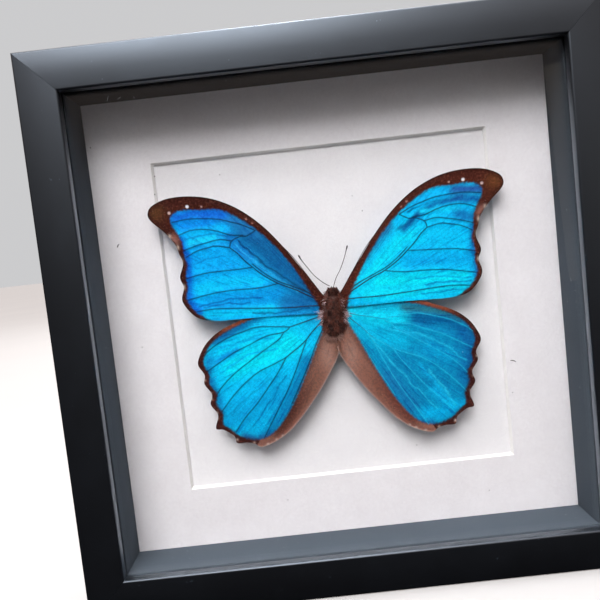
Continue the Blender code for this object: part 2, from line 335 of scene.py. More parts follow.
class Sheet:
    """A material's nodes, with short calls that add and join them."""

    def __init__(self, name: str) -> None:
        """Start a material with a Principled shader.

        Args:
            name: The material's name.
        """
        self.material = bpy.data.materials.new(name)
        self.material.use_nodes = True
        self.tree = self.material.node_tree
        self.shader = self.tree.nodes["Principled BSDF"]

    def node(self, kind: str, **settings: object) -> bpy.types.Node:
        """Add a node and set its properties.

        Args:
            kind: Its type, without ShaderNode in front.
            **settings: Its properties.

        Returns:
            The node.
        """
        made = self.tree.nodes.new("ShaderNode" + kind)
        for key, value in settings.items():
            setattr(made, key, value)
        return made

    def link(self, out: bpy.types.NodeSocket, into: bpy.types.NodeSocket) -> None:
        """Join two sockets."""
        self.tree.links.new(out, into)

    def fixed(self, **values: object) -> None:
        """Set sockets of the shader, whose names are given with underscores for spaces."""
        for key, value in values.items():
            self.shader.inputs[key.replace("_", " ")].default_value = value

    def place(self, scale: Sequence[float] = (1, 1, 1)) -> bpy.types.NodeSocket:
        """Read object coordinates through a Mapping node.

        Args:
            scale: Scale along each axis.

        Returns:
            The socket that gives them, in metres times the scale.
        """
        coords = self.node("TexCoord")
        mapping = self.node("Mapping")
        mapping.inputs["Scale"].default_value = tuple(scale)
        self.link(coords.outputs["Object"], mapping.inputs["Vector"])
        return mapping.outputs["Vector"]

    def attribute(self, name: str, output: str = "Color") -> bpy.types.NodeSocket:
        """An attribute of the piece's mesh."""
        return self.node("Attribute", attribute_name=name).outputs[output]

    def noise(self, where: bpy.types.NodeSocket, per_metre: float, detail: float = 3.0,
              rough: float = 0.55) -> bpy.types.NodeSocket:
        """Add noise.

        Args:
            where: Coordinates that it is read at.
            per_metre: Its cells in a metre.
            detail: Its octaves.
            rough: Strength of each octave as a share of the one before.

        Returns:
            The socket that gives it, from 0 to 1.
        """
        made = self.node("TexNoise")
        made.inputs["Scale"].default_value = per_metre
        made.inputs["Detail"].default_value = detail
        made.inputs["Roughness"].default_value = rough
        self.link(where, made.inputs["Vector"])
        return made.outputs[0]

    def cells(self, where: bpy.types.NodeSocket, per_metre: float) -> bpy.types.NodeSocket:
        """Add the distance to scattered points.

        Args:
            where: Coordinates that it is read at.
            per_metre: Points in a metre.

        Returns:
            The socket that gives it, in cells.
        """
        made = self.node("TexVoronoi")
        made.inputs["Scale"].default_value = per_metre
        self.link(where, made.inputs["Vector"])
        return made.outputs["Distance"]

    def span(self, value: bpy.types.NodeSocket, low: float, high: float, to_low: float = 0.0,
             to_high: float = 1.0) -> bpy.types.NodeSocket:
        """Map a range of values onto another and clamp it.

        Args:
            value: The value to map.
            low: Value that becomes to_low.
            high: Value that becomes to_high.
            to_low: Result at low.
            to_high: Result at high.

        Returns:
            The socket that gives the result.
        """
        made = self.node("MapRange")
        for index, number in enumerate((low, high, to_low, to_high), start=1):
            made.inputs[index].default_value = number
        self.link(value, made.inputs[0])
        return made.outputs[0]

    def sums(self, operation: str, first: bpy.types.NodeSocket,
             second: bpy.types.NodeSocket | float) -> bpy.types.NodeSocket:
        """Join two values by a Math node.

        Args:
            operation: What the node does.
            first: Its first value.
            second: Its second value, a socket or a number.

        Returns:
            The socket that gives the result.
        """
        made = self.node("Math", operation=operation)
        self.link(first, made.inputs[0])
        if isinstance(second, (int, float)):
            made.inputs[1].default_value = second
        else:
            self.link(second, made.inputs[1])
        return made.outputs[0]

    def mix(self, share: bpy.types.NodeSocket | float, first: bpy.types.NodeSocket | Colour,
            second: bpy.types.NodeSocket | Colour, blend: str = "MIX") -> bpy.types.NodeSocket:
        """Mix two colours, each a socket or three numbers.

        Args:
            share: Share of the second colour.
            first: First colour.
            second: Second colour.
            blend: How they mix.

        Returns:
            The socket that gives the mixed colour.
        """
        made = self.node("Mix", data_type="RGBA", blend_type=blend)
        sockets = dict(zip(("share", "first", "second"), (made.inputs[i] for i in (0, 6, 7))))
        for key, value in (("share", share), ("first", first), ("second", second)):
            if isinstance(value, bpy.types.NodeSocket):
                self.link(value, sockets[key])
            else:
                sockets[key].default_value = value if key == "share" else (*value, 1.0)
        return made.outputs[2]

    def colour(self, source: bpy.types.NodeSocket) -> None:
        """Set the shader's colour."""
        self.link(source, self.shader.inputs["Base Color"])

    def roughness(self, source: bpy.types.NodeSocket) -> None:
        """Set the shader's roughness."""
        self.link(source, self.shader.inputs["Roughness"])

    def bump(self, height: bpy.types.NodeSocket, depth: float, strength: float = 1.0) -> None:
        """Raise the surface.

        Args:
            height: Height at each place, as a share.
            depth: Height that 1 stands for, in metres.
            strength: Strength of the effect.
        """
        made = self.node("Bump")
        made.inputs["Strength"].default_value = strength
        made.inputs["Distance"].default_value = depth
        self.link(height, made.inputs["Height"])
        self.link(made.outputs["Normal"], self.shader.inputs["Normal"])


@dataclass(frozen=True)
class SatinLacquer:
    """Black lacquer of the frame's rails, with dust and hazy finger marks."""

    name: str = "satin black lacquer"
    colour: Colour = (0.0022, 0.0022, 0.0034)
    dust: Colour = (0.26, 0.30, 0.36)

    def make(self) -> bpy.types.Material:
        """Build the material.

        Returns:
            The material.
        """
        sheet = Sheet(self.name)
        where = sheet.place()
        speck = sheet.span(sheet.cells(where, 520), 0.055, 0.085, 1.0, 0.0)
        rare = sheet.span(sheet.noise(where, 90, 2), 0.60, 0.68)
        specks = sheet.sums("MULTIPLY", speck, rare)
        haze = sheet.span(sheet.noise(where, 28, 5, 0.7), 0.42, 0.72)
        film = sheet.mix(sheet.sums("MULTIPLY", haze, 0.004), self.colour, self.dust)
        sheet.colour(sheet.mix(specks, film, self.dust))
        grain = sheet.noise(where, 240, 4)
        sheet.roughness(sheet.span(haze, 0, 1, 0.35, 0.41))
        sheet.bump(sheet.sums("ADD", grain, specks), 0.03 * MM, 0.35)
        sheet.fixed(Specular_IOR_Level=1.0, Specular_Tint=(0.72, 0.85, 1.0, 1.0), Coat_Weight=1.0,
                    Coat_Roughness=0.38, Coat_Tint=(0.8, 0.9, 1.0, 1.0))
        return sheet.material


@dataclass(frozen=True)
class SlatePaint:
    """Matt slate paint of the spacer strips, with dust and painted light on faces that don't look down, and
    small rubs.
    """

    name: str = "slate paint"
    bare: Colour = (0.009, 0.0085, 0.009)
    dusty: Colour = (0.084, 0.104, 0.128)
    pale: Colour = (0.22, 0.24, 0.27)
    speckle: Colour = (0.55, 0.56, 0.58)

    def make(self) -> bpy.types.Material:
        """Build the material.

        Returns:
            The material.
        """
        sheet = Sheet(self.name)
        where = sheet.place()
        speck = sheet.span(sheet.cells(where, 420), 0.05, 0.09, 1.0, 0.0)
        specks = sheet.sums("MULTIPLY", speck, sheet.span(sheet.noise(where, 70, 2), 0.56, 0.64))
        cloud = sheet.span(sheet.noise(where, 45, 5, 0.65), 0.3, 0.75)
        facing = sheet.node("SeparateXYZ")
        sheet.link(sheet.node("NewGeometry").outputs["Normal"], facing.inputs[0])
        height = sheet.node("SeparateXYZ")
        sheet.link(where, height.inputs[0])
        # Faces that don't look down, more so lower down, are painted paler, as dust and painted light; faces
        # that look down keep the near-black of painted shade.
        facing_dust_and_light = sheet.span(facing.outputs["Z"], -0.9, 0.15, 0.0, 1.0)
        lower = sheet.span(height.outputs["Z"], 0.13, 0.215, 1.0, 0.3)
        film = sheet.mix(sheet.sums("MULTIPLY", facing_dust_and_light, lower), self.bare, self.dusty)
        base = sheet.mix(sheet.sums("MULTIPLY", cloud, 0.06), film, self.pale)
        sheet.colour(sheet.mix(specks, base, self.speckle))
        sheet.roughness(sheet.span(cloud, 0, 1, 0.7, 0.85))
        sheet.bump(sheet.noise(where, 900, 3), 0.04 * MM, 0.3)
        sheet.fixed(Specular_IOR_Level=0.05)
        return sheet.material


@dataclass(frozen=True)
class Paper:
    """Matt board with a fine felt texture."""

    name: str
    colour: Colour
    shade: Colour
    tooth: float = 0.05 * MM

    def make(self) -> bpy.types.Material:
        """Build the material.

        Returns:
            The material.
        """
        sheet = Sheet(self.name)
        where = sheet.place()
        felt = sheet.noise(where, 1150, 4, 0.6)
        cloud = sheet.noise(where, 60, 4)
        tone = sheet.sums("ADD", sheet.span(felt, 0.3, 0.7, 0.0, 0.6), sheet.span(cloud, 0.3, 0.7, 0.0, 0.4))
        sheet.colour(sheet.mix(tone, self.shade, self.colour))
        sheet.bump(felt, self.tooth, 0.5)
        sheet.fixed(Roughness=0.92, Specular_IOR_Level=0.2)
        return sheet.material


@dataclass(frozen=True)
class ClearGlass:
    """Clear picture glass with a faint uneven film."""

    name: str = "picture glass"

    def make(self) -> bpy.types.Material:
        """Build the material.

        Returns:
            The material.
        """
        sheet = Sheet(self.name)
        film = sheet.noise(sheet.place(), 22, 5, 0.7)
        sheet.roughness(sheet.span(film, 0.45, 0.8, 0.0, 0.03))
        sheet.fixed(Transmission_Weight=1.0, IOR=1.45, Base_Color=(0.985, 0.99, 0.987, 1.0))
        return sheet.material


@dataclass(frozen=True)
class Fibreboard:
    """Brown pressed board with matted fibres."""

    name: str = "pressed fibreboard"

    def make(self) -> bpy.types.Material:
        """Build the material.

        Returns:
            The material.
        """
        sheet = Sheet(self.name)
        where = sheet.place((1.0, 1.0, 2.6))
        fibre = sheet.noise(where, 480, 6, 0.7)
        fleck = sheet.span(sheet.noise(sheet.place((3.0, 1.0, 1.0)), 260, 4), 0.60, 0.72)
        base = sheet.mix(sheet.span(fibre, 0.3, 0.7), linear("5d3f27"), linear("8a6440"))
        sheet.colour(sheet.mix(fleck, base, linear("b89468")))
        sheet.bump(fibre, 0.08 * MM, 0.5)
        sheet.fixed(Roughness=0.82)
        return sheet.material


@dataclass(frozen=True)
class StampedMetal:
    """Thin rolled metal with fine scratches and tarnish."""

    name: str
    bright: Colour
    dull: Colour

    def make(self) -> bpy.types.Material:
        """Build the material.

        Returns:
            The material.
        """
        sheet = Sheet(self.name)
        scratches = sheet.noise(sheet.place((1.0, 1.0, 14.0)), 260, 5, 0.7)
        tarnish = sheet.span(sheet.noise(sheet.place(), 160, 5), 0.4, 0.7)
        sheet.colour(sheet.mix(tarnish, self.bright, self.dull))
        sheet.roughness(sheet.span(scratches, 0.3, 0.7, 0.28, 0.5))
        sheet.bump(scratches, 0.02 * MM, 0.4)
        sheet.fixed(Metallic=1.0)
        return sheet.material


@dataclass(frozen=True)
class Fur:
    """Insect hair, each with its own tone from the mesh."""

    name: str
    dark: Colour
    light: Colour

    def make(self) -> bpy.types.Material:
        """Build the material.

        Returns:
            The material.
        """
        sheet = Sheet(self.name)
        tone = sheet.attribute("tone", "Fac")
        sheet.colour(sheet.mix(tone, self.dark, self.light))
        sheet.fixed(Roughness=0.55, Specular_IOR_Level=0.35)
        return sheet.material


@dataclass(frozen=True)
class Cuticle:
    """Hard skin of the insect, dark and a little uneven."""

    name: str
    colour: Colour
    light: Colour
    gloss: float = 0.4

    def make(self) -> bpy.types.Material:
        """Build the material.

        Returns:
            The material.
        """
        sheet = Sheet(self.name)
        where = sheet.place()
        mottle = sheet.noise(where, 1400, 4, 0.6)
        sheet.colour(sheet.mix(sheet.span(mottle, 0.35, 0.7), self.colour, self.light))
        sheet.bump(mottle, 0.05 * MM, 0.5)
        sheet.fixed(Roughness=self.gloss)
        return sheet.material


@dataclass(frozen=True)
class DriedGlue:
    """Yellowed glue."""

    name: str = "dried glue"

    def make(self) -> bpy.types.Material:
        """Build the material.

        Returns:
            The material.
        """
        sheet = Sheet(self.name)
        cloud = sheet.noise(sheet.place(), 500, 4)
        sheet.colour(sheet.mix(cloud, linear("b8a06a"), linear("e2d4a8")))
        sheet.bump(cloud, 0.1 * MM, 0.4)
        sheet.fixed(Roughness=0.35)
        return sheet.material


@dataclass(frozen=True)
class WingScales:
    """Upper side of the wings: tiny scales in rows, tinted by the mesh, with painted shade and highlight on
    streaks and creases.
    """

    name: str = "wing scales"
    between_rows: Colour = (0.45, 0.58, 0.68)
    worn: Colour = (0.30, 0.60, 0.80)
    furrow_shade: Colour = (0.30, 0.46, 0.68)
    ridge_highlight: Colour = (0.9, 1.25, 1.2)
    creased: Colour = (0.25, 0.42, 0.62)
    brown_scale: str = "7c4a3a"

    def make(self) -> bpy.types.Material:
        """Build the material, each layer multiplied over the one before.

        Returns:
            The material.
        """
        sheet = Sheet(self.name)
        shine = sheet.attribute("shine", "Fac")
        where = sheet.place()
        rows = sheet.noise(where, 1250, 3, 0.65)
        patch = sheet.noise(where, 330, 4, 0.6)
        streak = sheet.noise(sheet.attribute("flow", "Vector"), 1.0, 5, 0.62)
        crease = sheet.noise(sheet.attribute("crease", "Vector"), 1.0, 2, 0.5)
        here_and_there = sheet.span(sheet.noise(where, 150, 2), 0.45, 0.6)
        # Thin dark lines along fine creases, mostly towards the tips: painted shade.
        thin = sheet.sums("MULTIPLY", sheet.span(sheet.sums("PINGPONG", crease, 0.06), 0.012, 0.0),
                          here_and_there)
        crumpled = sheet.sums("MULTIPLY", sheet.sums("MULTIPLY", thin, 0.85),
                              sheet.attribute("crumple", "Fac"))
        colour = sheet.attribute("scales")
        for share, tone in (
            (sheet.span(rows, 0.40, 0.60, 0.6, 0.0), self.between_rows),
            (sheet.sums("MULTIPLY", sheet.span(patch, 0.48, 0.66, 0.0, 0.5), shine), self.worn),
            # Streaks: darker ones are painted shade in furrows, paler ones painted highlight on ridges.
            (sheet.sums("MULTIPLY", sheet.span(streak, 0.52, 0.68, 0.0, 0.9), shine), self.furrow_shade),
            (sheet.sums("MULTIPLY", sheet.span(streak, 0.46, 0.34, 0.0, 0.5), shine), self.ridge_highlight),
            (crumpled, self.creased),
        ):
            colour = sheet.mix(share, colour, tone, "MULTIPLY")
        grain = sheet.sums("SUBTRACT", sheet.span(rows, 0.52, 0.70, 0.0, 0.4), shine)
        sheet.colour(sheet.mix(grain, colour, linear(self.brown_scale)))
        sheet.roughness(sheet.span(shine, 0, 1, 0.6, 0.5))
        height = sheet.sums("ADD", rows, sheet.sums("MULTIPLY", streak, 1.5))
        sheet.bump(height, 0.12 * MM, 0.6)
        sheet.fixed(Specular_IOR_Level=0.06)
        return sheet.material


@dataclass(frozen=True)
class PlainTint:
    """A finish whose colour comes from the mesh, with a fine mottle."""

    name: str
    gloss: float = 0.5

    def make(self) -> bpy.types.Material:
        """Build the material.

        Returns:
            The material.
        """
        sheet = Sheet(self.name)
        tint = sheet.attribute("scales")
        mottle = sheet.noise(sheet.place(), 1600, 3)
        sheet.colour(sheet.mix(sheet.span(mottle, 0.3, 0.7, 0.0, 0.5), tint, (0.5, 0.5, 0.5), "MULTIPLY"))
        sheet.bump(mottle, 0.03 * MM, 0.4)
        sheet.fixed(Roughness=self.gloss, Specular_IOR_Level=0.1)
        return sheet.material


class Finishes:
    """Every finish, made once."""

    def __init__(self) -> None:
        """Build the materials."""
        self.lacquer = SatinLacquer().make()
        self.slate = SlatePaint().make()
        self.mat = Paper("mat board face", linear("ebe9ed"), linear("dcd9dd")).make()
        self.core = Paper("mat board core", linear("f4f3f2"), linear("e6e4e2"), 0.02 * MM).make()
        self.card = Paper("backing card", linear("ecebee"), linear("dfdde1"), 0.03 * MM).make()
        self.glass = ClearGlass().make()
        self.board = Fibreboard().make()
        self.steel = StampedMetal("tinned steel", linear("c4c6c9"), linear("8d8f92")).make()
        self.brass = StampedMetal("brassed steel", linear("d8b468"), linear("8f6c34")).make()
        self.glue = DriedGlue().make()
        self.skin = Cuticle("dark skin", linear("2a100c"), linear("4a241c"), 0.6).make()
        self.eye = Cuticle("eye", linear("120806"), linear("2c140e"), 0.22).make()
        self.feeler = Cuticle("feeler", linear("1c1416"), linear("3c3234"), 0.5).make()
        self.fur = Fur("reddish fur", linear("1e0806"), linear("8c4c3c")).make()
        self.pale_fur = Fur("pale tufts", linear("6a3830"), linear("e6cfd4")).make()
        self.tan_fur = Fur("tan fur", linear("7a5248"), linear("c09a90")).make()
        self.scales = WingScales().make()
        self.underside = PlainTint("wing underside", 0.7).make()
        self.vein = PlainTint("wing veins", 0.45).make()
        self.dust = Paper("dust", linear("d8dce4"), linear("a8acb4")).make()
        self.fibre = Cuticle("stray fibre", linear("26282c"), linear("4a4c50"), 0.8).make()


def dress(piece: bpy.types.Object, *finishes: bpy.types.Material) -> None:
    """Give a piece its materials.

    Args:
        piece: The piece.
        *finishes: Its materials, in the order of its slots.
    """
    piece.data.materials.clear()
    for finish in finishes:
        piece.data.materials.append(finish)


def hand_over(piece: bpy.types.Object, slot: str, *nodes: str) -> None:
    """Let a finished piece ride on the root body.

    Args:
        piece: The piece.
        slot: Material slot that its finish comes from; not used.
        *nodes: Solids that it stands for.
    """
    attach(piece, "root")
    if nodes:
        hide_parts(*nodes)
    log.info("%s: %d faces", piece.name, len(piece.data.polygons))


def redress(frame: dict, node: str, finish: bpy.types.Material) -> None:
    """Give a solid that is kept a better finish.

    Args:
        frame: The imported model.
        node: The solid's name.
        finish: Its material.
    """
    for slot in frame["nodes"][node].material_slots:
        slot.material = finish
    log.info("%s: kept, in %s", node, finish.name)


# ---------------------------------------------------------------- frame and sheets


@dataclass
class BoxFrame:
    """The four mitred rails and the four spacer strips inside them.

    face is a rail's width from the front, lip the depth of its lip, wall its thickness behind the lip and
    strip the thickness of a spacer strip. The rounds are the radii of the eased arrises.
    """

    finishes: Finishes
    outer: float
    front: float
    back: float
    face: float = 16.2 * MM
    lip: float = 4.4 * MM
    wall: float = 10.0 * MM
    strip: float = 5.6 * MM
    front_round: float = 0.9 * MM
    back_round: float = 0.5 * MM
    strip_round: float = 0.25 * MM
    rounding: int = 5
    strip_rounding: int = 3
    mitre: float = 0.06 * MM
    strip_front: float = field(init=False)
    strip_back: float = field(init=False)

    def __post_init__(self) -> None:
        """Read where the strips lie."""
        low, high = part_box("spacer_strip_top")
        self.strip_front, self.strip_back = low[1], high[1]

    def mitred(self, piece: bpy.types.Object) -> None:
        """Cut both ends of a top piece at 45 degrees, towards the middle of the frame.

        Args:
            piece: The rail or strip.
        """
        half = self.outer / 2
        slack = self.mitre / 2 * math.sqrt(2)
        with Editing(piece) as edit:
            for side in (-1, 1):
                edit.cut((side * (half - slack), 0, self.outer), (side, 0, -1), drop=True)
            edit.recalculate()

    def top_rail(self) -> bpy.types.Object:
        """Model the top rail: a wall with a lip drawn from its front, mitred, with eased arrises.

        Returns:
            The rail.
        """
        half, lip_back = self.outer / 2, self.front + self.lip
        inside = self.outer - self.wall
        rail = block("rail_top", (-half, self.front, inside), (half, self.back, self.outer))
        with Editing(rail) as edit:
            edit.cut((0, lip_back, 0), (0, 1, 0))
            edit.faces(lambda centre, normal: normal.z < -SQUARE_ON and centre.y < lip_back)
            edit.extrude((0, 0, self.wall - self.face))
        self.mitred(rail)
        corners = {self.front_round: ((self.front, self.outer), (self.front, self.outer - self.face)),
                   self.back_round: ((self.back, self.outer), (self.back, inside),
                                     (lip_back, self.outer - self.face))}
        with Editing(rail) as edit:
            for width, places in corners.items():
                edit.edges(lambda a, b: abs(a.x - b.x) > half and any(
                    near(a.y, y) and near(a.z, z) and near(b.y, y) for y, z in places))
                edit.bevel(width, self.rounding)
        return rail

    def top_strip(self) -> bpy.types.Object:
        """Model the top spacer strip, flush with the lip's inner edge.

        Returns:
            The strip.
        """
        half = self.outer / 2
        inside = self.outer - self.face
        strip = block("strip_top", (-half, self.strip_front, inside),
                      (half, self.strip_back, inside + self.strip))
        self.mitred(strip)
        with Editing(strip) as edit:
            edit.edges(lambda a, b: abs(a.x - b.x) > half and near(a.z, inside) and near(b.z, inside))
            edit.bevel(self.strip_round, self.strip_rounding)
        return strip

    def build(self) -> None:
        """Model each top piece and copy it round the frame."""
        about = Matrix.Translation((0, 0, self.outer / 2))
        sides = ("top", "right", "bottom", "left")
        rails = (self.top_rail(), self.finishes.lacquer, "black_wood", "frame_rail_")
        strips = (self.top_strip(), self.finishes.slate, "slate", "spacer_strip_")
        for first, finish, slot, node in (rails, strips):
            dress(first, finish)
            soften(first)
            stem = first.name.removesuffix("top")
            pieces = [first]
            for turns, side in enumerate(sides[1:], start=1):
                turn = about @ Matrix.Rotation(turns * math.pi / 2, 4, "Y") @ about.inverted()
                pieces.append(copy_turned(first, stem + side, turn))
            for piece, side in zip(pieces, sides):
                hand_over(piece, slot, node + side)


@dataclass
class Speck:
    """A fleck, or a bent fibre, that lies on a sheet at x and z, in millimetres and degrees."""

    x: float
    z: float
    length: float
    turn: float
    bend: float = 0.0

    def route(self, level: float) -> list[tuple[float, float, float]]:
        """Find the points of its middle line.

        Args:
            level: Its place in depth.

        Returns:
            Six points in metres.
        """
        turn = math.radians(self.turn)
        points = []
        for t in np.linspace(-0.5, 0.5, 6):
            along = t * self.length * MM
            sag = self.bend * MM * (0.25 - t * t) * 2
            points.append((self.x * MM + along * math.cos(turn) - sag * math.sin(turn), level,
                           self.z * MM + along * math.sin(turn) + sag * math.cos(turn)))
        return points


@dataclass
class Sheets:
    """The window mat, and the glass, card, panel and fittings that are kept as they are.

    window is the width of the mat's opening, slant how far its bevel runs inwards and drop how far the
    opening lies below the mat's middle.
    """

    finishes: Finishes
    frame: dict
    window: float = 144.8 * MM
    slant: float = 0.95 * MM
    drop: float = 0.8 * MM
    bevel_room: float = 1.5 * MM
    fleck_thick: float = 0.2 * MM
    fibre_thick: float = 0.19 * MM
    fleck_lift: float = 0.14 * MM
    scratch_count: int = 34
    corner_scratches: int = 16
    specks: tuple[Speck, ...] = (
        Speck(-90.5, 153.1, 1.7, 60, 0.6), Speck(75.5, 83.8, 2.6, -20, 0.8), Speck(-71.1, 181.0, 0.5, 10),
        Speck(-72.1, 173.3, 0.6, 80), Speck(-43.4, 178.8, 0.4, 30), Speck(16.4, 156.6, 0.5, 120),
        Speck(12.7, 163.5, 0.3, 0), Speck(74.1, 70.0, 0.4, 20), Speck(-86.0, 108.0, 0.4, 50),
        Speck(-97.0, 196.0, 0.5, 10), Speck(30.0, 50.5, 0.4, 70), Speck(-30.0, 32.5, 0.4, 0),
        Speck(60.0, 27.0, 0.4, 130),
    )

    def window_mat(self) -> None:
        """Model the mat: a board whose front and back are inset and bridged by a slanted cut."""
        low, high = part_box("mat_board")
        mat = block("window_mat", low, high)
        side = high[0] - low[0]
        with Editing(mat) as edit:
            for normal_y, opening in ((-1, self.window), (1, self.window - 2 * self.slant)):
                edit.faces(lambda centre, normal: normal.y * normal_y > SQUARE_ON)
                bpy.ops.mesh.inset(thickness=(side - opening) / 2)
                edit.move((0, 0, -self.drop))
            middle = (low[2] + high[2]) / 2 - self.drop
            edit.faces(lambda centre, normal: abs(normal.y) > SQUARE_ON and abs(centre.x) < MM
                       and near(centre.z, middle, MM))
            bpy.ops.mesh.bridge_edge_loops()
            edit.recalculate()
        dress(mat, self.finishes.mat, self.finishes.core)
        for face in mat.data.polygons:
            face.material_index = int(1 - SQUARE_ON < abs(face.normal.y) < SQUARE_ON)
        hand_over(mat, "mat_white", "mat_board")

    def debris(self) -> None:
        """Model the dark flecks and fibres that lie on the mat and the card."""
        mat_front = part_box("mat_board")[0][1]
        card_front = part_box("backing_card")[0][1]
        middle = sum(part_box("mat_board")[i][2] for i in (0, 1)) / 2 - self.drop
        pieces = []
        for number, speck in enumerate(self.specks):
            off_centre = max(abs(speck.x * MM), abs(speck.z * MM - middle))
            on_card = off_centre < self.window / 2 - self.bevel_room
            route = speck.route((card_front if on_card else mat_front) - self.fleck_lift)
            thick = self.fibre_thick if speck.bend else self.fleck_thick
            pieces.append(tube(f"fleck_{number}", route, [thick * 0.5] + [thick] * 4 + [thick * 0.4], 5))
        fleck = join(pieces, "flecks_and_fibres")
        dress(fleck, self.finishes.fibre)
        hand_over(fleck, "mat_white")

    def scratches(self) -> None:
        """Model faint pale scratches in the glass's upper left corner, and dust all over it."""
        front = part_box("glass_pane")[0][1] - 0.05 * MM
        rng = np.random.default_rng(4)
        pieces = []
        for number in range(self.scratch_count):
            corner = number < self.corner_scratches
            x = rng.uniform(-92, -70) if corner else rng.uniform(-95, 95)
            z = rng.uniform(186, 211)
            if not corner:
                z = rng.uniform(25, 208)
            run = rng.uniform(0.6, 2.2) if corner else rng.uniform(0.1, 0.3)
            turn = rng.uniform(0, math.pi)
            route = [((x + t * run * math.cos(turn)) * MM, front, (z + t * run * math.sin(turn)) * MM)
                     for t in (-0.5, 0.0, 0.5)]
            pieces.append(tube(f"scratch_{number}", route, [0.03 * MM, 0.06 * MM, 0.03 * MM], 4))
        scratches = join(pieces, "glass_scratches")
        dress(scratches, self.finishes.dust)
        hand_over(scratches, "clear_glass")

    def build(self) -> None:
        """Build the mat and give the kept solids their finishes."""
        self.window_mat()
        self.scratches()
        self.debris()
        kept = {"glass_pane": self.finishes.glass, "backing_card": self.finishes.card,
                "back_panel": self.finishes.board, "glue_dab": self.finishes.glue,
                "retaining_tab": self.finishes.steel, "sawtooth_hanger": self.finishes.brass,
                "hanger_nail": self.finishes.brass}
        for stem, finish in kept.items():
            for node in self.frame["nodes"]:
                if node.startswith(stem):
                    redress(self.frame, node, finish)
        self.frame["nodes"]["glass_pane"].visible_shadow = False


# ---------------------------------------------------------------- butterfly


def tube(name: str, route: Sequence[Sequence[float]], radii: Sequence[float],
         sides: int = 6) -> bpy.types.Object:
    """Model a tapering closed tube along a route.

    Args:
        name: The piece's name.
        route: Points of its axis.
        radii: The radius at each point.
        sides: Faces round the tube.

    Returns:
        The tube as a mesh.
    """
    clean_slate()
    curve = bpy.data.curves.new(name, "CURVE")
    curve.dimensions = "3D"
    curve.bevel_depth = 1.0
    curve.bevel_resolution = max(0, sides // 2 - 2)
    curve.use_fill_caps = True
    spline = curve.splines.new("POLY")
    spline.points.add(len(route) - 1)
    for point, place, radius in zip(spline.points, route, radii):
        point.co = (*place, 1.0)
        point.radius = radius
    piece = bpy.data.objects.new(name, curve)
    bpy.context.collection.objects.link(piece)
    make_active(piece)
    bpy.ops.object.convert(target="MESH")
    piece = named(name)
    for face in piece.data.polygons:
        face.use_smooth = True
    return piece


def curve_through(points: Sequence[Point], steps: int, closed: bool = False) -> np.ndarray:
    """Read points from a Catmull-Rom curve, with a corner where a point is given twice.

    Args:
        points: The points that the curve passes through.
        steps: Points read from each span.
        closed: Whether the curve comes back to its start.

    Returns:
        An array of points.
    """
    chain = [np.array(point, float) for point in points]
    count = len(chain)
    last = count - 1
    found = []
    for i in range(count if closed else last):
        around = [(i + k) % count if closed else min(max(i + k, 0), last) for k in (-1, 0, 1, 2)]
        before, start, finish, after = (chain[k] for k in around)
        if np.array_equal(start, finish):
            continue
        for step in range(steps):
            t = step / steps
            found.append(0.5 * (2 * start + (finish - before) * t
                                + (2 * before - 5 * start + 4 * finish - after) * t ** 2
                                + (3 * start - before - 3 * finish + after) * t ** 3))
    if not closed:
        found.append(chain[-1])
    return np.array(found)


def distance_to(points: np.ndarray, path: np.ndarray, closed: bool = False) -> tuple[np.ndarray, np.ndarray]:
    """Distance from points to a path, and how far along it the nearest place is.

    Args:
        points: Points, one a row.
        path: The path's points.
        closed: Whether the path comes back to its start.

    Returns:
        The distances, and the lengths along the path as shares from 0 to 1.
    """
    starts = path if closed else path[:-1]
    ends = np.roll(path, -1, axis=0) if closed else path[1:]
    best = np.full(len(points), np.inf)
    where = np.zeros(len(points))
    for number, (start, end) in enumerate(zip(starts, ends)):
        run = end - start
        share = np.clip((points - start) @ run / max(run @ run, 1e-12), 0, 1)
        gap = np.hypot(*(points - start - share[:, None] * run).T)
        closer = gap < best
        best[closer] = gap[closer]
        where[closer] = (number + share[closer]) / len(starts)
    return best, where


def inside(points: np.ndarray, outline: np.ndarray) -> np.ndarray:
    """Find which points lie inside a closed outline, by counting crossings.

    Args:
        points: Points, one a row.
        outline: The outline's points.

    Returns:
        Whether each point is inside.
    """
    found = np.zeros(len(points), bool)
    for start, end in zip(outline, np.roll(outline, -1, axis=0)):
        crosses = (start[1] > points[:, 1]) != (end[1] > points[:, 1])
        if crosses.any():
            slope = (end[0] - start[0]) / (end[1] - start[1] if end[1] != start[1] else 1e-12)
            found ^= crosses & (points[:, 0] < start[0] + (points[:, 1] - start[1]) * slope)
    return found


def waves(points: np.ndarray, size: float, seed: int, octaves: int = 3) -> np.ndarray:
    """Work out a smooth random field, made of sine waves in random directions.

    Args:
        points: Points, one a row.
        size: Length of its longest waves.
        seed: Seed of the random directions.
        octaves: How many times the waves are halved.

    Returns:
        A value for each point, mostly from -1 to 1.
    """
    rng = np.random.default_rng(seed)
    total = np.zeros(len(points))
    for octave in range(octaves):
        for _ in range(5):
            angle, phase = rng.uniform(0, 2 * math.pi, 2)
            length = size / 2 ** octave * rng.uniform(0.7, 1.4)
            along = points @ np.array([math.cos(angle), math.sin(angle)])
            total += np.sin(2 * math.pi * along / length + phase) / 2 ** octave
    return total / 6


class Side(Enum):
    """The side of the specimen that a wing is on, as its direction along X."""

    LEFT = -1
    RIGHT = 1


class Kind(Enum):
    """Which pair a wing belongs to."""

    FORE = "forewing"
    HIND = "hindwing"


@dataclass(frozen=True)
class Stroke:
    """A soft band of colour along a short path over the wing, in its plan's millimetres."""

    path: tuple[Point, ...]
    width: float
    code: str
    strength: float = 1.0


@dataclass(frozen=True)
class Vein:
    """A vein along its path, with its breadth at the root end and at the margin."""

    path: tuple[Point, ...]
    root: float
    tip: float


@dataclass(frozen=True)
class WingPlan:
    """One pair's plan in millimetres, outwards and up from the thorax, shared by both sides.

    A point given twice is a corner. rest is how far the wings lie behind the frame's front, and askew
    how they were set: degrees raised, then millimetres outwards and up.
    """

    kind: Kind
    outline: tuple[Point, ...]
    blue: tuple[Point, ...]
    veins: tuple[Vein, ...]
    rest: float
    askew: tuple[float, float, float]


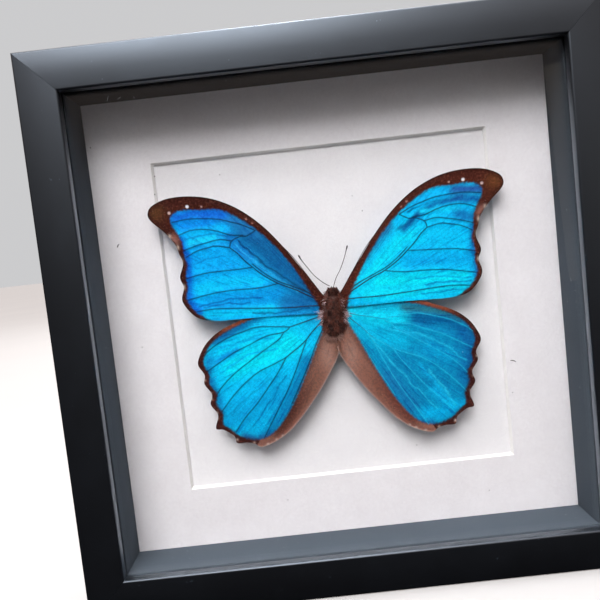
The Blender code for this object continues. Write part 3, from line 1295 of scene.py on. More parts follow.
FOREWING = WingPlan(
    Kind.FORE,
    outline=((3.2, 7.0), (3.2, 7.0), (12.0, 19.8), (21.0, 32.3), (29.0, 41.2), (38.0, 48.2), (48.0, 52.8),
             (58.0, 54.6), (67.0, 54.2), (73.2, 51.8), (75.3, 48.8), (74.4, 45.6), (69.2, 40.4), (65.0, 35.0),
             (63.8, 31.2), (62.4, 26.4), (64.2, 20.8), (63.0, 16.4), (64.2, 11.0), (61.4, 5.8), (57.2, 2.4),
             (50.0, 1.0), (38.0, 1.0), (24.0, 1.0), (3.0, 0.2), (3.0, 0.2)),
    blue=((6.4, 4.2), (6.4, 4.2), (9.8, 10.9), (16.4, 22.3), (22.9, 31.0), (30.0, 38.4), (37.0, 43.8),
          (42.0, 46.8), (47.0, 48.4), (53.0, 48.6), (58.0, 49.0), (62.6, 48.8), (65.8, 46.8), (66.0, 43.4),
          (63.8, 39.6), (62.2, 35.4), (61.6, 30.0), (60.8, 25.6), (61.8, 21.0), (61.4, 16.4), (62.4, 11.4),
          (60.0, 6.6), (56.4, 3.4), (50.0, 0.2), (38.0, 0.0), (24.0, 0.0), (5.6, 0.4), (5.6, 0.4)),
    veins=(
        Vein(((6, 6), (11, 9), (16.5, 12), (23, 15), (29, 19), (33, 22.6), (36, 25.4), (39, 29), (42, 31.6)),
             0.34, 0.16),
        Vein(((6, 7.4), (11.5, 10.6), (17, 13.2), (23.4, 16.2), (29, 20.2), (33, 24)), 0.20, 0.10),
        Vein(((42, 31.6), (41, 34.4), (37, 36), (34.4, 36), (30.6, 38)), 0.14, 0.12),
        Vein(((30.6, 38), (36, 40.8), (40.6, 42.4), (46, 44), (53, 44.8), (59, 45), (65.4, 44.2)),
             0.13, 0.08),
        Vein(((36, 36.4), (41.4, 37), (46.6, 39), (52, 40.2), (58, 40.2), (64, 38.2)), 0.13, 0.08),
        Vein(((41, 34.4), (46, 35.4), (51, 34.6), (56, 33.6), (61.4, 32)), 0.11, 0.07),
        Vein(((42, 31.6), (47.6, 32.8), (52, 32.2), (56.4, 31.2), (60.8, 29)), 0.12, 0.07),
        Vein(((33, 22.6), (39.4, 22.2), (47, 22), (54, 21.6), (61.6, 20)), 0.13, 0.08),
        Vein(((23, 14.8), (31, 13.6), (40, 13.6), (50, 13), (62, 10.8)), 0.13, 0.08),
        Vein(((6, 4), (12, 4.2), (20, 4.2), (32.6, 5), (42.6, 5.8), (51, 6.2), (59, 5.6)), 0.26, 0.08),
        Vein(((4.4, 8.4), (9.6, 16.4), (16, 26), (23.4, 34.2), (32, 42), (41, 48), (50, 51.4)), 0.26, 0.14),
    ),
    rest=20.75,
    askew=(-1.6, 0.3, 0.9),
)

HINDWING = WingPlan(
    Kind.HIND,
    outline=((3.0, 3.0), (3.0, 3.0), (22.0, 3.4), (36.0, 1.6), (42.0, -0.6), (50.4, -4.0), (56.2, -8.4),
             (59.6, -13.2), (61.1, -17.8), (58.7, -22.4), (59.2, -26.4), (56.4, -31.2), (57.4, -35.6),
             (54.7, -40.4), (56.2, -46.2), (52.8, -47.2), (48.6, -50.4), (47.6, -53.5), (43.2, -53.7),
             (40.0, -54.6), (37.4, -56.2), (32.8, -55.1), (26.7, -52.0), (22.0, -48.2), (16.0, -41.6),
             (9.2, -33.0), (3.9, -25.0), (0.2, -18.6), (-0.7, -14.0), (-0.4, -9.0), (-0.4, -9.0)),
    blue=((4.0, 2.4), (4.0, 2.4), (22.0, 2.6), (33.0, 0.8), (40.0, -1.4), (47.0, -4.2), (53.4, -8.0),
          (57.2, -12.6), (58.8, -17.6), (56.8, -22.6), (57.0, -26.6), (54.4, -31.0), (55.0, -35.4),
          (52.6, -40.2), (53.0, -44.6), (50.0, -47.2), (46.6, -50.4), (43.0, -52.0), (38.0, -53.0),
          (33.0, -51.6), (29.4, -48.8), (25.6, -44.4), (21.0, -37.6), (17.0, -30.2), (12.4, -21.0),
          (8.4, -12.4), (5.0, -6.0), (3.4, -2.0), (3.4, -2.0)),
    veins=(
        Vein(((6, -1.4), (9, -2.2), (14.4, -3.6), (20, -5)), 0.24, 0.14),
        Vein(((20, -5), (27.6, -4.2), (34.6, -3.8), (41, -5.4), (48, -7.6), (55, -11.4), (58, -14)),
             0.13, 0.07),
        Vein(((20, -5), (23, -7), (30.6, -8), (38, -11), (45, -13.8), (51.6, -17.6), (58.6, -21.6)),
             0.13, 0.07),
        Vein(((23, -7), (25.4, -10), (30.4, -13), (39, -18.4), (46.6, -23.6), (52.4, -29), (56, -34)),
             0.11, 0.07),
        Vein(((5.8, -3.4), (10.8, -8), (15, -12.4), (23, -18)), 0.28, 0.16),
        Vein(((23, -18), (28.4, -20.4), (35, -23), (41, -27), (46.6, -32), (51, -36.8), (54.4, -41)),
             0.13, 0.07),
        Vein(((23, -18), (26.6, -23.6), (31.6, -30), (37.4, -37), (43, -42.6), (47.6, -48.4)), 0.13, 0.07),
        Vein(((13.6, -11.4), (16.6, -18), (19.6, -24.6), (23.6, -32.4), (28.6, -40.6), (33.6, -48.8),
              (36, -53)), 0.13, 0.07),
        Vein(((5.4, -6), (9.4, -13), (13.4, -21.6), (18, -30.4), (22.4, -38.4)), 0.16, 0.08),
    ),
    rest=21.5,
    askew=(-1.0, 1.0, -0.1),
)

# Pale notches between the scallops of the margin, at x and height in the plan
NOTCHES: dict[Kind, tuple[Point, ...]] = {
    Kind.FORE: ((67.0, 38.2), (64.0, 33.4), (62.9, 27.6), (63.0, 16.6)),
    Kind.HIND: ((59.8, -22.4), (59.0, -24.6), (57.0, -30.6), (57.0, -33.0), (55.2, -39.4), (55.4, -42.0),
                (49.4, -50.2), (47.6, -52.0), (40.4, -54.2), (34.4, -55.2), (30.4, -53.6), (27.6, -52.2)),
}

# Spots near a forewing's apex and front edge, with their size and colour
APEX_SPOTS = ((58.4, 50.3, 0.62, "f2eef4"), (66.2, 48.2, 0.6, "d8b8b4"), (52.4, 49.8, 0.4, "b08a84"),
              (34.0, 43.2, 0.5, "a87a70"), (31.6, 41.2, 0.5, "8a5a50"))

# Where the blue turns: each wing's first colour, and the soft strokes over it, which are partly painted
# light.
# The sides differ as their scales meet the lamps at other angles; some thin dark and pale strokes are painted
# fold shade and highlight.
BLUES: dict[tuple[Kind, Side], tuple[str, tuple[Stroke, ...]]] = {
    (Kind.FORE, Side.LEFT): ("06a6ee", (
        Stroke(((9, 6), (20, 6.5)), 5.0, "1a6cae"),
        Stroke(((8, 10), (18, 20), (28, 31), (34, 37)), 8.0, "145c96"),
        Stroke(((30, 38), (38, 42), (44, 45)), 3.5, "2a72b4"),
        Stroke(((44, 46), (56, 47), (64, 46)), 3.2, "0f66d2"),
        Stroke(((48, 43), (62, 42)), 1.6, "0a86e6"),
        Stroke(((44, 40), (60, 38)), 2.6, "07b0f8"),
        Stroke(((62, 36), (60.6, 28), (60.6, 20), (61.4, 10), (57, 5)), 1.9, "0f5cd0", 0.9),
        Stroke(((30, 16), (44, 17), (56, 15)), 3.2, "08b8f6"),
        Stroke(((24, 10), (34, 10), (50, 9)), 3.0, "0890da", 0.7),
        Stroke(((26, 4), (44, 3.5), (54, 4)), 2.2, "08c0f2"),
        Stroke(((34, 27), (39, 32), (42, 36)), 2.2, "1478c6"),
        Stroke(((12, 11), (22, 18.6), (31, 26.4), (38, 34)), 0.5, "0e3c66", 0.8),
        Stroke(((14, 10.4), (24, 17.4), (33, 25.4), (40, 33.4)), 0.4, "3aa4e0", 0.7),
        Stroke(((42, 36.6), (50, 38), (60, 36.6)), 0.4, "0c62ac", 0.8),
        Stroke(((44, 28), (52, 27.4), (60, 25)), 0.35, "0c6cc0", 0.7),
        Stroke(((30, 9.4), (42, 10), (50, 9), (57, 8)), 0.4, "0a5aa4", 0.9),
        Stroke(((36, 7.6), (46, 8), (55, 7)), 0.35, "0a5aa4", 0.8),
        Stroke(((10, 3), (22, 2.6), (34, 3)), 0.4, "123c70", 0.7),
        Stroke(((48, 36), (58, 35)), 1.6, "16c2f8"),
    )),
    (Kind.FORE, Side.RIGHT): ("08baf2", (
        Stroke(((8, 11), (17, 23), (26, 33)), 2.6, "2a6ca8"),
        Stroke(((10, 9), (26, 23), (34, 30)), 5.0, "08cef8"),
        Stroke(((32, 31.4), (37, 36), (43, 40), (49, 41.8), (56, 42.6), (64, 41.4)), 1.5, "10529a", 0.9),
        Stroke(((30, 32), (35, 34.6), (40, 38)), 0.8, "0e4c86", 0.7),
        Stroke(((34, 38.6), (40, 41.2), (48, 42.6), (58, 43.4)), 0.45, "0c4684", 0.8),
        Stroke(((40, 44.4), (50, 46.2), (62, 46.8)), 0.45, "1458a0", 0.7),
        Stroke(((54, 46), (65, 46)), 2.6, "34569e"),
        Stroke(((40, 43), (50, 46)), 2.4, "10b4f2"),
        Stroke(((40, 38.4), (48, 38.8), (56, 38.2)), 1.0, "18c4f0"),
        Stroke(((56, 36), (62, 34)), 2.6, "1a78ba"),
        Stroke(((62, 30), (61, 20), (62, 10)), 1.8, "1470ba"),
        Stroke(((34, 18), (46, 17), (58, 16)), 3.4, "06a4e2"),
        Stroke(((20, 10), (36, 10), (56, 9)), 3.4, "08d8fa"),
        Stroke(((14, 5), (36, 4.6), (56, 4.6)), 2.6, "0ad2f6"),
        Stroke(((40, 7.6), (50, 7.9), (59, 7.4)), 0.5, "0c6cac", 0.8),
        Stroke(((38, 3.4), (50, 4.2), (58, 4)), 0.4, "0c78b8", 0.7),
        Stroke(((36, 10.4), (48, 10.6), (59, 8.8)), 0.4, "0c86c4", 0.6),
    )),
    (Kind.HIND, Side.LEFT): ("08b6ea", (
        Stroke(((34, -0.5), (44, -4), (52, -8.4)), 2.8, "0a66a6"),
        Stroke(((8, -2), (16, -4)), 4.0, "1aa0d6"),
        Stroke(((16, -4), (26, -3), (34, -4)), 3.6, "08b8ea"),
        Stroke(((20, -12), (32, -16), (46, -20)), 7.0, "06d6fa"),
        Stroke(((38, -9), (50, -13)), 3.0, "06ccf6"),
        Stroke(((44, -12.6), (53, -17.4)), 1.6, "0c8ed4"),
        Stroke(((56, -16), (57, -24), (54, -32), (53, -40)), 2.2, "1086c4"),
        Stroke(((28, -34), (40, -38), (48, -44)), 7.0, "0898d2"),
        Stroke(((36, -30), (44, -34)), 4.0, "0ab2ea"),
        Stroke(((14, -20), (20, -32), (28, -44), (34, -50)), 3.2, "0a7cb4"),
        Stroke(((38, -48), (46, -48)), 3.0, "08a6da"),
        Stroke(((30, -50.6), (38, -52.6), (44, -51)), 1.6, "2a5e98"),
        Stroke(((28, -9), (38, -8.4), (50, -11.4)), 0.4, "0a8cd0", 0.7),
        Stroke(((26, -14), (38, -15), (52, -22)), 0.4, "0a90d2", 0.7),
        Stroke(((30, -26), (40, -33), (49, -41)), 0.4, "0a84bc", 0.7),
        Stroke(((24, -26), (31, -36), (40, -47)), 0.45, "0a6ea6", 0.8),
    )),
    (Kind.HIND, Side.RIGHT): ("0e8abc", (
        Stroke(((7, -2), (16, -4), (26, -5)), 4.6, "10ceee"),
        Stroke(((30, -1), (42, -3), (52, -8)), 2.4, "3a7288"),
        Stroke(((34, -6), (46, -8), (54, -13)), 2.6, "0a5c92"),
        Stroke(((10, -8), (18, -13), (26, -15)), 4.6, "0cb0dc"),
        Stroke(((38, -19), (46, -24)), 2.8, "0c94ca"),
        Stroke(((56, -15), (57, -24), (54, -34)), 5.5, "14629e"),
        Stroke(((26, -26), (34, -34), (44, -36)), 7.0, "0f80b2"),
        Stroke(((20, -30), (30, -44)), 3.6, "1f72a8"),
        Stroke(((40, -38), (47, -46)), 2.6, "10a0d6"),
        Stroke(((36, -48), (42, -48), (50, -46)), 3.0, "0aa4da"),
        Stroke(((30, -51), (38, -52.6)), 1.6, "2a70a8"),
        Stroke(((24, -8), (36, -9), (50, -14)), 0.5, "0c7cb4", 0.7),
        Stroke(((22, -9.6), (34, -12.4), (46, -19), (54, -26)), 0.4, "34bce2", 0.6),
        Stroke(((12, -9), (20, -21), (30, -34), (40, -46)), 0.35, "3cc0e4", 0.6),
        Stroke(((34, -26), (40, -34), (46, -44)), 0.7, "12a4d8", 0.8),
        Stroke(((38, -29), (44, -38), (48, -45)), 0.4, "40c4e8", 0.6),
    )),
}


class Ground:
    """Colour of a wing's brown parts, laid on in layers."""

    def __init__(self, flat: np.ndarray, code: str) -> None:
        """Start with one colour all over.

        Args:
            flat: Plan points in millimetres.
            code: The first colour.
        """
        self.flat = flat
        self.colour = np.tile(np.array(linear(code)), (len(flat), 1))

    def lay(self, code: str, share: np.ndarray) -> None:
        """Lay a colour over the others, by its share at each point."""
        self.colour = self.colour * (1 - share[:, None]) + np.array(linear(code)) * share[:, None]

    def away(self, x: float, z: float, squeeze: float = 1.0) -> np.ndarray:
        """Distance of the points from a place, with heights squeezed."""
        return np.hypot(self.flat[:, 0] - x, (self.flat[:, 1] - z) * squeeze)


@dataclass
class Wing:
    """One wing: a membrane of scales, with its veins. Its sizes are in millimetres."""

    plan: WingPlan
    side: Side
    finishes: Finishes
    root: Vector
    front: float
    cell: float = 0.27
    thick: float = 0.12
    vein_round: float = 0.7  # radius of a vein as a share of its plan's breadth
    vein_sides: int = 6
    loose_rings: int = 2  # rings of cells inside the rim that are evened out, in so many rounds
    evening: int = 4
    rib: float = 0.16
    rib_reach: float = 1.3
    fold: float = 0.07
    fan: float = 38.0  # radius at which the flow's second coordinate is true to size
    gain: Colour = (0.6, 1.22, 1.12)  # from the strokes' colours to the scales' own, under the lamps
    cream: str = "d8c4b4"
    line: str = "05223a"
    pale_line: str = "28b8de"

    @property
    def warm(self) -> bool:
        """Whether this wing's browns are the warmer ones."""
        return self.side is Side.RIGHT

    @property
    def name(self) -> str:
        """Name of the wing, which is also its solid's."""
        return f"{self.plan.kind.value}_{self.side.name.lower()}"

    def world(self, flat: np.ndarray, lift: np.ndarray) -> np.ndarray:
        """Carry plan points to the specimen.

        Args:
            flat: Plan points in millimetres.
            lift: How far each stands in front of the wing's level, in millimetres.

        Returns:
            Points in metres.
        """
        degrees, out, up = self.plan.askew
        sign = self.side.value
        angle = math.radians(sign * degrees)
        across = flat[:, 0] * math.cos(angle) - flat[:, 1] * math.sin(angle) + sign * out
        height = flat[:, 0] * math.sin(angle) + flat[:, 1] * math.cos(angle) + sign * up
        depth = self.front + (self.plan.rest - lift) * MM
        return np.stack([self.root.x + sign * across * MM, depth, self.root.z + height * MM], axis=1)

    def to_veins(self, flat: np.ndarray) -> np.ndarray:
        """Distance from plan points to the nearest vein."""
        paths = [curve_through(vein.path, 3) for vein in self.plan.veins]
        return np.min([distance_to(flat, path)[0] for path in paths], axis=0)

    def lift(self, flat: np.ndarray) -> np.ndarray:
        """Work out how far the membrane stands in front of its level.

        Args:
            flat: Plan points in millimetres.

        Returns:
            Ribs at the veins, soft folds between them, and a slow swell, in millimetres.
        """
        ribs = self.rib * bell(self.to_veins(flat), self.rib_reach)
        folds = waves(self.flow(flat) * np.array([0.25, 1.0]), 7.0, 11 + self.side.value)
        swell = waves(flat, 34.0, 23 + self.side.value, 2)
        return ribs + self.fold * folds + self.fold * swell

    def flow(self, flat: np.ndarray) -> np.ndarray:
        """Coordinates along and across the wing's spokes, in millimetres."""
        angle = np.arctan2(flat[:, 1], flat[:, 0])
        return np.stack([np.hypot(flat[:, 0], flat[:, 1]), angle * self.fan], axis=1)

    def tint(self, flat: np.ndarray, outline: np.ndarray) -> tuple[np.ndarray, np.ndarray]:
        """Colour of the scales at plan points.

        Args:
            flat: Plan points in millimetres.
            outline: The wing's outline.

        Returns:
            Linear colours, and how far each place is blue.
        """
        blue_edge = curve_through(self.plan.blue, 3, closed=True)
        margin = distance_to(flat, outline, closed=True)[0]
        away = distance_to(flat, blue_edge, closed=True)[0]
        deep = np.where(inside(flat, blue_edge), away, -away) + 0.42 * waves(flat, 1.7, 5)
        blue = ease(-0.45, 0.65, deep)[:, None]
        first, strokes = BLUES[(self.plan.kind, self.side)]
        blues = Ground(flat, first)
        wander = flat + 0.8 * np.stack([waves(flat, 9.0, 31), waves(flat, 9.0, 37)], axis=1)
        for stroke in strokes:
            gap = distance_to(wander, np.array(stroke.path, float))[0]
            blues.lay(stroke.code, stroke.strength * bell(gap, stroke.width))
        line = 0.85 * bell(self.to_veins(flat), 0.30)
        blues.lay(self.pale_line if self.pale else self.line, line * (0.6 if self.pale else 1))
        # The blue darkens within a short way of its edge: a painted shadow line.
        shade = blues.colour * (1 - 0.6 * np.exp(-np.maximum(deep, 0) / 0.7)[:, None])
        shade = np.minimum(shade * np.array(self.gain), 0.96)
        border = self.fore_ground if self.plan.kind is Kind.FORE else self.hind_ground
        colour = border(flat, margin) * (1 - blue) + shade * blue
        return colour, blue[:, 0] * ease(0.0, 1.2, margin)

    def fore_ground(self, flat: np.ndarray, margin: np.ndarray) -> np.ndarray:
        """Brown border of a forewing, with its pale spots and notches.

        Args:
            flat: Plan points in millimetres.
            margin: Their distance from the outline.

        Returns:
            Linear colours.
        """
        ground = Ground(flat, "4c2016" if self.warm else "401810")
        front_rib = distance_to(flat, curve_through(self.plan.veins[-1].path, 3))[0]
        ground.lay("7a4638", 0.55 * bell(front_rib, 0.5) * ease(30, 10, flat[:, 0]))
        # A lighter olive patch at the apex: a painted sheen on the brown.
        ground.lay("6e4020" if self.warm else "5e3a1e", 0.8 * bell(ground.away(71.5, 48.6), 3.4))
        ground.lay("a06c60", 0.85 * bell(ground.away(65.2, 36.8), 2.2))
        ground.lay("200a08", ease(0.75, 0.15, margin) * 0.9)
        tip_edge = ease(24, 46, flat[:, 0]) * ease(2.4, 0.6, margin) * ease(40, 44, flat[:, 1])
        ground.lay("2a0e0a", 0.5 * tip_edge)
        for x, z in NOTCHES[Kind.FORE]:
            ground.lay(self.cream, 0.8 * bell(ground.away(x, z, 0.6), 0.6))
        for x, z, size, code in APEX_SPOTS:
            ground.lay(code, np.clip(1.3 * np.exp(-(ground.away(x, z) / size) ** 4), 0, 1))
        return ground.colour

    def hind_ground(self, flat: np.ndarray, margin: np.ndarray) -> np.ndarray:
        """Scalloped brown margin and tan inner fold of a hindwing.

        Args:
            flat: Plan points in millimetres.
            margin: Their distance from the outline.

        Returns:
            Linear colours.
        """
        ground = Ground(flat, "3e1a16")
        out, up = flat.T
        crease = np.array(((5, -6), (9, -14), (14, -24), (19, -34), (24, -42), (29, -48)), float)
        edge = distance_to(flat, crease)[0]
        inner = (out < 8 + 0.56 * -up) & (up < -2)
        ground.lay("8e6052" if self.warm else "845a4c", ease(0, 1, inner.astype(float)))
        ground.lay("a87e70", inner * 0.9 * bell(np.hypot((out - 5) / 3.2, (up + 19) / 7), 1))
        ground.lay("64403a", inner * 0.7 * bell(edge, 1.6))
        ground.lay("5c3c32", inner * 0.6 * ease(2.2, 0.3, out) * ease(-27, -20, up))
        streaks = waves(self.flow(flat) * np.array([0.12, 1.0]), 3.0, 17)
        ground.lay("5a3a30", inner * 0.45 * ease(0.0, 0.9, streaks))
        lower = ease(-22, -42, up) * inner
        ground.lay("6a3a30" if self.warm else "4a241c", 0.9 * lower * ease(7.5, 1.0, edge))
        ground.lay("8c5a4e", inner * 0.5 * lower * ease(2.2, 0.8, margin))
        ground.lay("ceb2a6", inner * 0.5 * ease(0.7, 0.15, margin))
        leading = (out > 30) & (up > -9)
        ground.lay("8c4a34", leading * 0.8 * ease(2.2, 1.0, margin) * ease(54, 46, out))
        for x, z in NOTCHES[Kind.HIND]:
            ground.lay("d4b8ac", 0.9 * bell(ground.away(x, z), 0.55))
        return ground.colour

    def grid(self, outline: np.ndarray) -> bpy.types.Object:
        """Cut a fine flat grid to the outline, without what the body hides.

        Args:
            outline: The wing's outline.

        Returns:
            The grid, in plan millimetres.
        """
        low, high = outline.min(axis=0) - 1, outline.max(axis=0) + 1
        across, up = (int(n) for n in np.ceil((high - low) / self.cell))
        clean_slate()
        bpy.ops.mesh.primitive_grid_add(x_subdivisions=across, y_subdivisions=up, size=1.0)
        piece = named(f"{self.name}_membrane")
        piece.scale = (*(high - low), 1.0)
        piece.location = (*((low + high) / 2), 0.0)
        settle(piece)

        def spare(shape: bmesh.types.BMesh) -> list:
            """Find what is cut away.

            Args:
                shape: The grid's mesh.

            Returns:
                The faces past the outline or inside the body.
            """
            centres = np.array([face.calc_center_median()[:2] for face in shape.faces])
            drop = ~inside(centres, outline) | self.thorax(centres)
            return [face for face, out in zip(shape.faces, drop) if out]

        with Editing(piece) as edit:
            edit.pick("FACE", spare)
            bpy.ops.mesh.delete(type="FACE")
        return piece

    def paint(self, piece: bpy.types.Object, flat: np.ndarray, outline: np.ndarray) -> None:
        """Store what the finish reads: the scales' colour and shine, and where streaks and creases run.

        Args:
            piece: The membrane.
            flat: Plan points of its vertices.
            outline: The wing's outline.
        """
        colours, shine = self.tint(flat, outline)
        along, across = self.flow(flat).T
        level = np.zeros(len(flat))
        fore = self.plan.kind is Kind.FORE
        crumple = ease(34, 50, along) if fore else 0.35 * ease(20, 40, along)
        self.store(piece, "scales", "FLOAT_COLOR", np.column_stack([colours, level + 1]))
        self.store(piece, "shine", "FLOAT", shine)
        self.store(piece, "flow", "FLOAT_VECTOR", np.column_stack([along * 0.07, across * 1.3, level]))
        self.store(piece, "crease", "FLOAT_VECTOR",
                   np.column_stack([along * 0.60 + across * 0.80, across * 0.09 - along * 0.04, level]))
        self.store(piece, "crumple", "FLOAT", crumple * shine)

    def membrane(self) -> bpy.types.Object:
        """Model the membrane: a flat cut grid that is painted, lifted into folds and thickened.

        Returns:
            The membrane.
        """
        outline = curve_through(self.plan.outline, 6, closed=True)
        piece = self.grid(outline)
        flat = self.trimmed(piece, outline)
        self.paint(piece, flat, outline)
        piece.data.vertices.foreach_set("co", self.world(flat, self.lift(flat)).ravel())
        with Editing(piece) as edit:
            edit.recalculate()
        if piece.data.polygons[0].normal.y > 0:
            piece.data.flip_normals()
        dress(piece, self.finishes.scales, self.finishes.underside)
        apply_modifier(piece, "SOLIDIFY", thickness=self.thick * MM, offset=-1.0, material_offset=1,
                       material_offset_rim=0, use_even_offset=False)
        soften(piece, 60)
        return piece

    def thorax(self, flat: np.ndarray) -> np.ndarray:
        """Whether plan points lie inside the body, where the wing's root is hidden."""
        return (np.abs(flat[:, 0]) < 3.6) & (flat[:, 1] > -8) & (flat[:, 1] < 3)

    def trimmed(self, piece: bpy.types.Object, outline: np.ndarray) -> np.ndarray:
        """Pull the rim of the cut grid onto the outline and even out the cells beside it.

        Args:
            piece: The cut grid.
            outline: The wing's outline.

        Returns:
            The plan points of its vertices.
        """
        mesh = piece.data
        flat = np.empty(len(mesh.vertices) * 3)
        mesh.vertices.foreach_get("co", flat)
        flat = flat.reshape(-1, 3)[:, :2].copy()
        uses = np.zeros(len(mesh.edges), int)
        loops = np.empty(len(mesh.loops), int)
        mesh.loops.foreach_get("edge_index", loops)
        np.add.at(uses, loops, 1)
        ends = np.empty(len(mesh.edges) * 2, int)
        mesh.edges.foreach_get("vertices", ends)
        ends = ends.reshape(-1, 2)
        rim = np.unique(ends[uses == 1])
        starts, finishes = outline, np.roll(outline, -1, axis=0)
        run = finishes - starts
        for index in rim[~self.thorax(flat[rim] * 0.97)]:
            along = ((flat[index] - starts) * run).sum(1)
            share = np.clip(along / np.maximum((run * run).sum(1), 1e-12), 0, 1)
            spots = starts + share[:, None] * run
            flat[index] = spots[np.hypot(*(spots - flat[index]).T).argmin()]
        held = np.zeros(len(flat), bool)
        held[rim] = True
        close = held.copy()
        for _ in range(self.loose_rings):
            close[np.unique(ends[close[ends].any(axis=1)])] = True
        free = close & ~held
        for _ in range(self.evening):
            total = np.zeros_like(flat)
            count = np.zeros(len(flat))
            for a, b in ((0, 1), (1, 0)):
                np.add.at(total, ends[:, a], flat[ends[:, b]])
                np.add.at(count, ends[:, a], 1)
            flat[free] = (total[free] / count[free][:, None] + flat[free]) / 2
        return flat

    def store(self, piece: bpy.types.Object, name: str, kind: str, values: np.ndarray) -> None:
        """Write an attribute on a piece's points.

        Args:
            piece: The piece.
            name: The attribute's name.
            kind: FLOAT, FLOAT_VECTOR or FLOAT_COLOR.
            values: A value for each point.
        """
        made = piece.data.attributes.new(name=name, type=kind, domain="POINT")
        key = {"FLOAT_COLOR": "color", "FLOAT": "value", "FLOAT_VECTOR": "vector"}[kind]
        made.data.foreach_set(key, np.asarray(values, np.float32).ravel())

    @property
    def pale(self) -> bool:
        """Whether this wing's veins catch the light and look paler than the scales."""
        return self.plan.kind is Kind.HIND and self.side is Side.RIGHT

    def vein_colours(self, flat: np.ndarray) -> np.ndarray:
        """Colour of the veins, dark at the root and bluer further out, and brown past the blue.

        Args:
            flat: Plan points in millimetres.

        Returns:
            Linear colours.
        """
        reach = np.hypot(flat[:, 0], flat[:, 1]) / 60
        share = np.clip(reach * (2.4 if self.pale else 1.6), 0, 1)[:, None]
        root = np.array(linear("341a20"))
        tip = np.array(linear("20b4dc" if self.pale else "06304e"))
        colours = root * (1 - share) + tip * share
        colours[~inside(flat, curve_through(self.plan.blue, 3, closed=True))] = linear("4a2018")
        return colours

    def veins(self) -> bpy.types.Object:
        """Model the veins: tapering tubes half sunk in the membrane.

        Returns:
            The joined veins.
        """
        tubes = []
        for number, vein in enumerate(self.plan.veins):
            flat = curve_through(vein.path, 6)
            share = np.linspace(0, 1, len(flat))
            radii = self.vein_round * (vein.root + (vein.tip - vein.root) * share)
            places = self.world(flat, self.lift(flat) - 0.3 * radii)
            piece = tube(f"vein_{number}", places, radii * MM, self.vein_sides)
            verts = np.empty(len(piece.data.vertices) * 3)
            piece.data.vertices.foreach_get("co", verts)
            nearest = [np.hypot(*(places - v)[:, [0, 2]].T).argmin() for v in verts.reshape(-1, 3)]
            colours = self.vein_colours(flat[nearest])
            self.store(piece, "scales", "FLOAT_COLOR", np.column_stack([colours, np.ones(len(colours))]))
            tubes.append(piece)
        piece = join(tubes, f"{self.name}_veins")
        dress(piece, self.finishes.vein)
        return piece

    def build(self) -> None:
        """Model the wing and hand its two pieces over."""
        hand_over(self.membrane(), "wing", self.name)
        hand_over(self.veins(), "wing", self.name)


@dataclass(frozen=True)
class Tuft:
    """Hairs at a wing's root, the same on both sides, in the body's millimetres."""

    name: str
    out: float
    up: float
    spread: float
    count: int
    reach: float
    course: tuple[float, float, float]


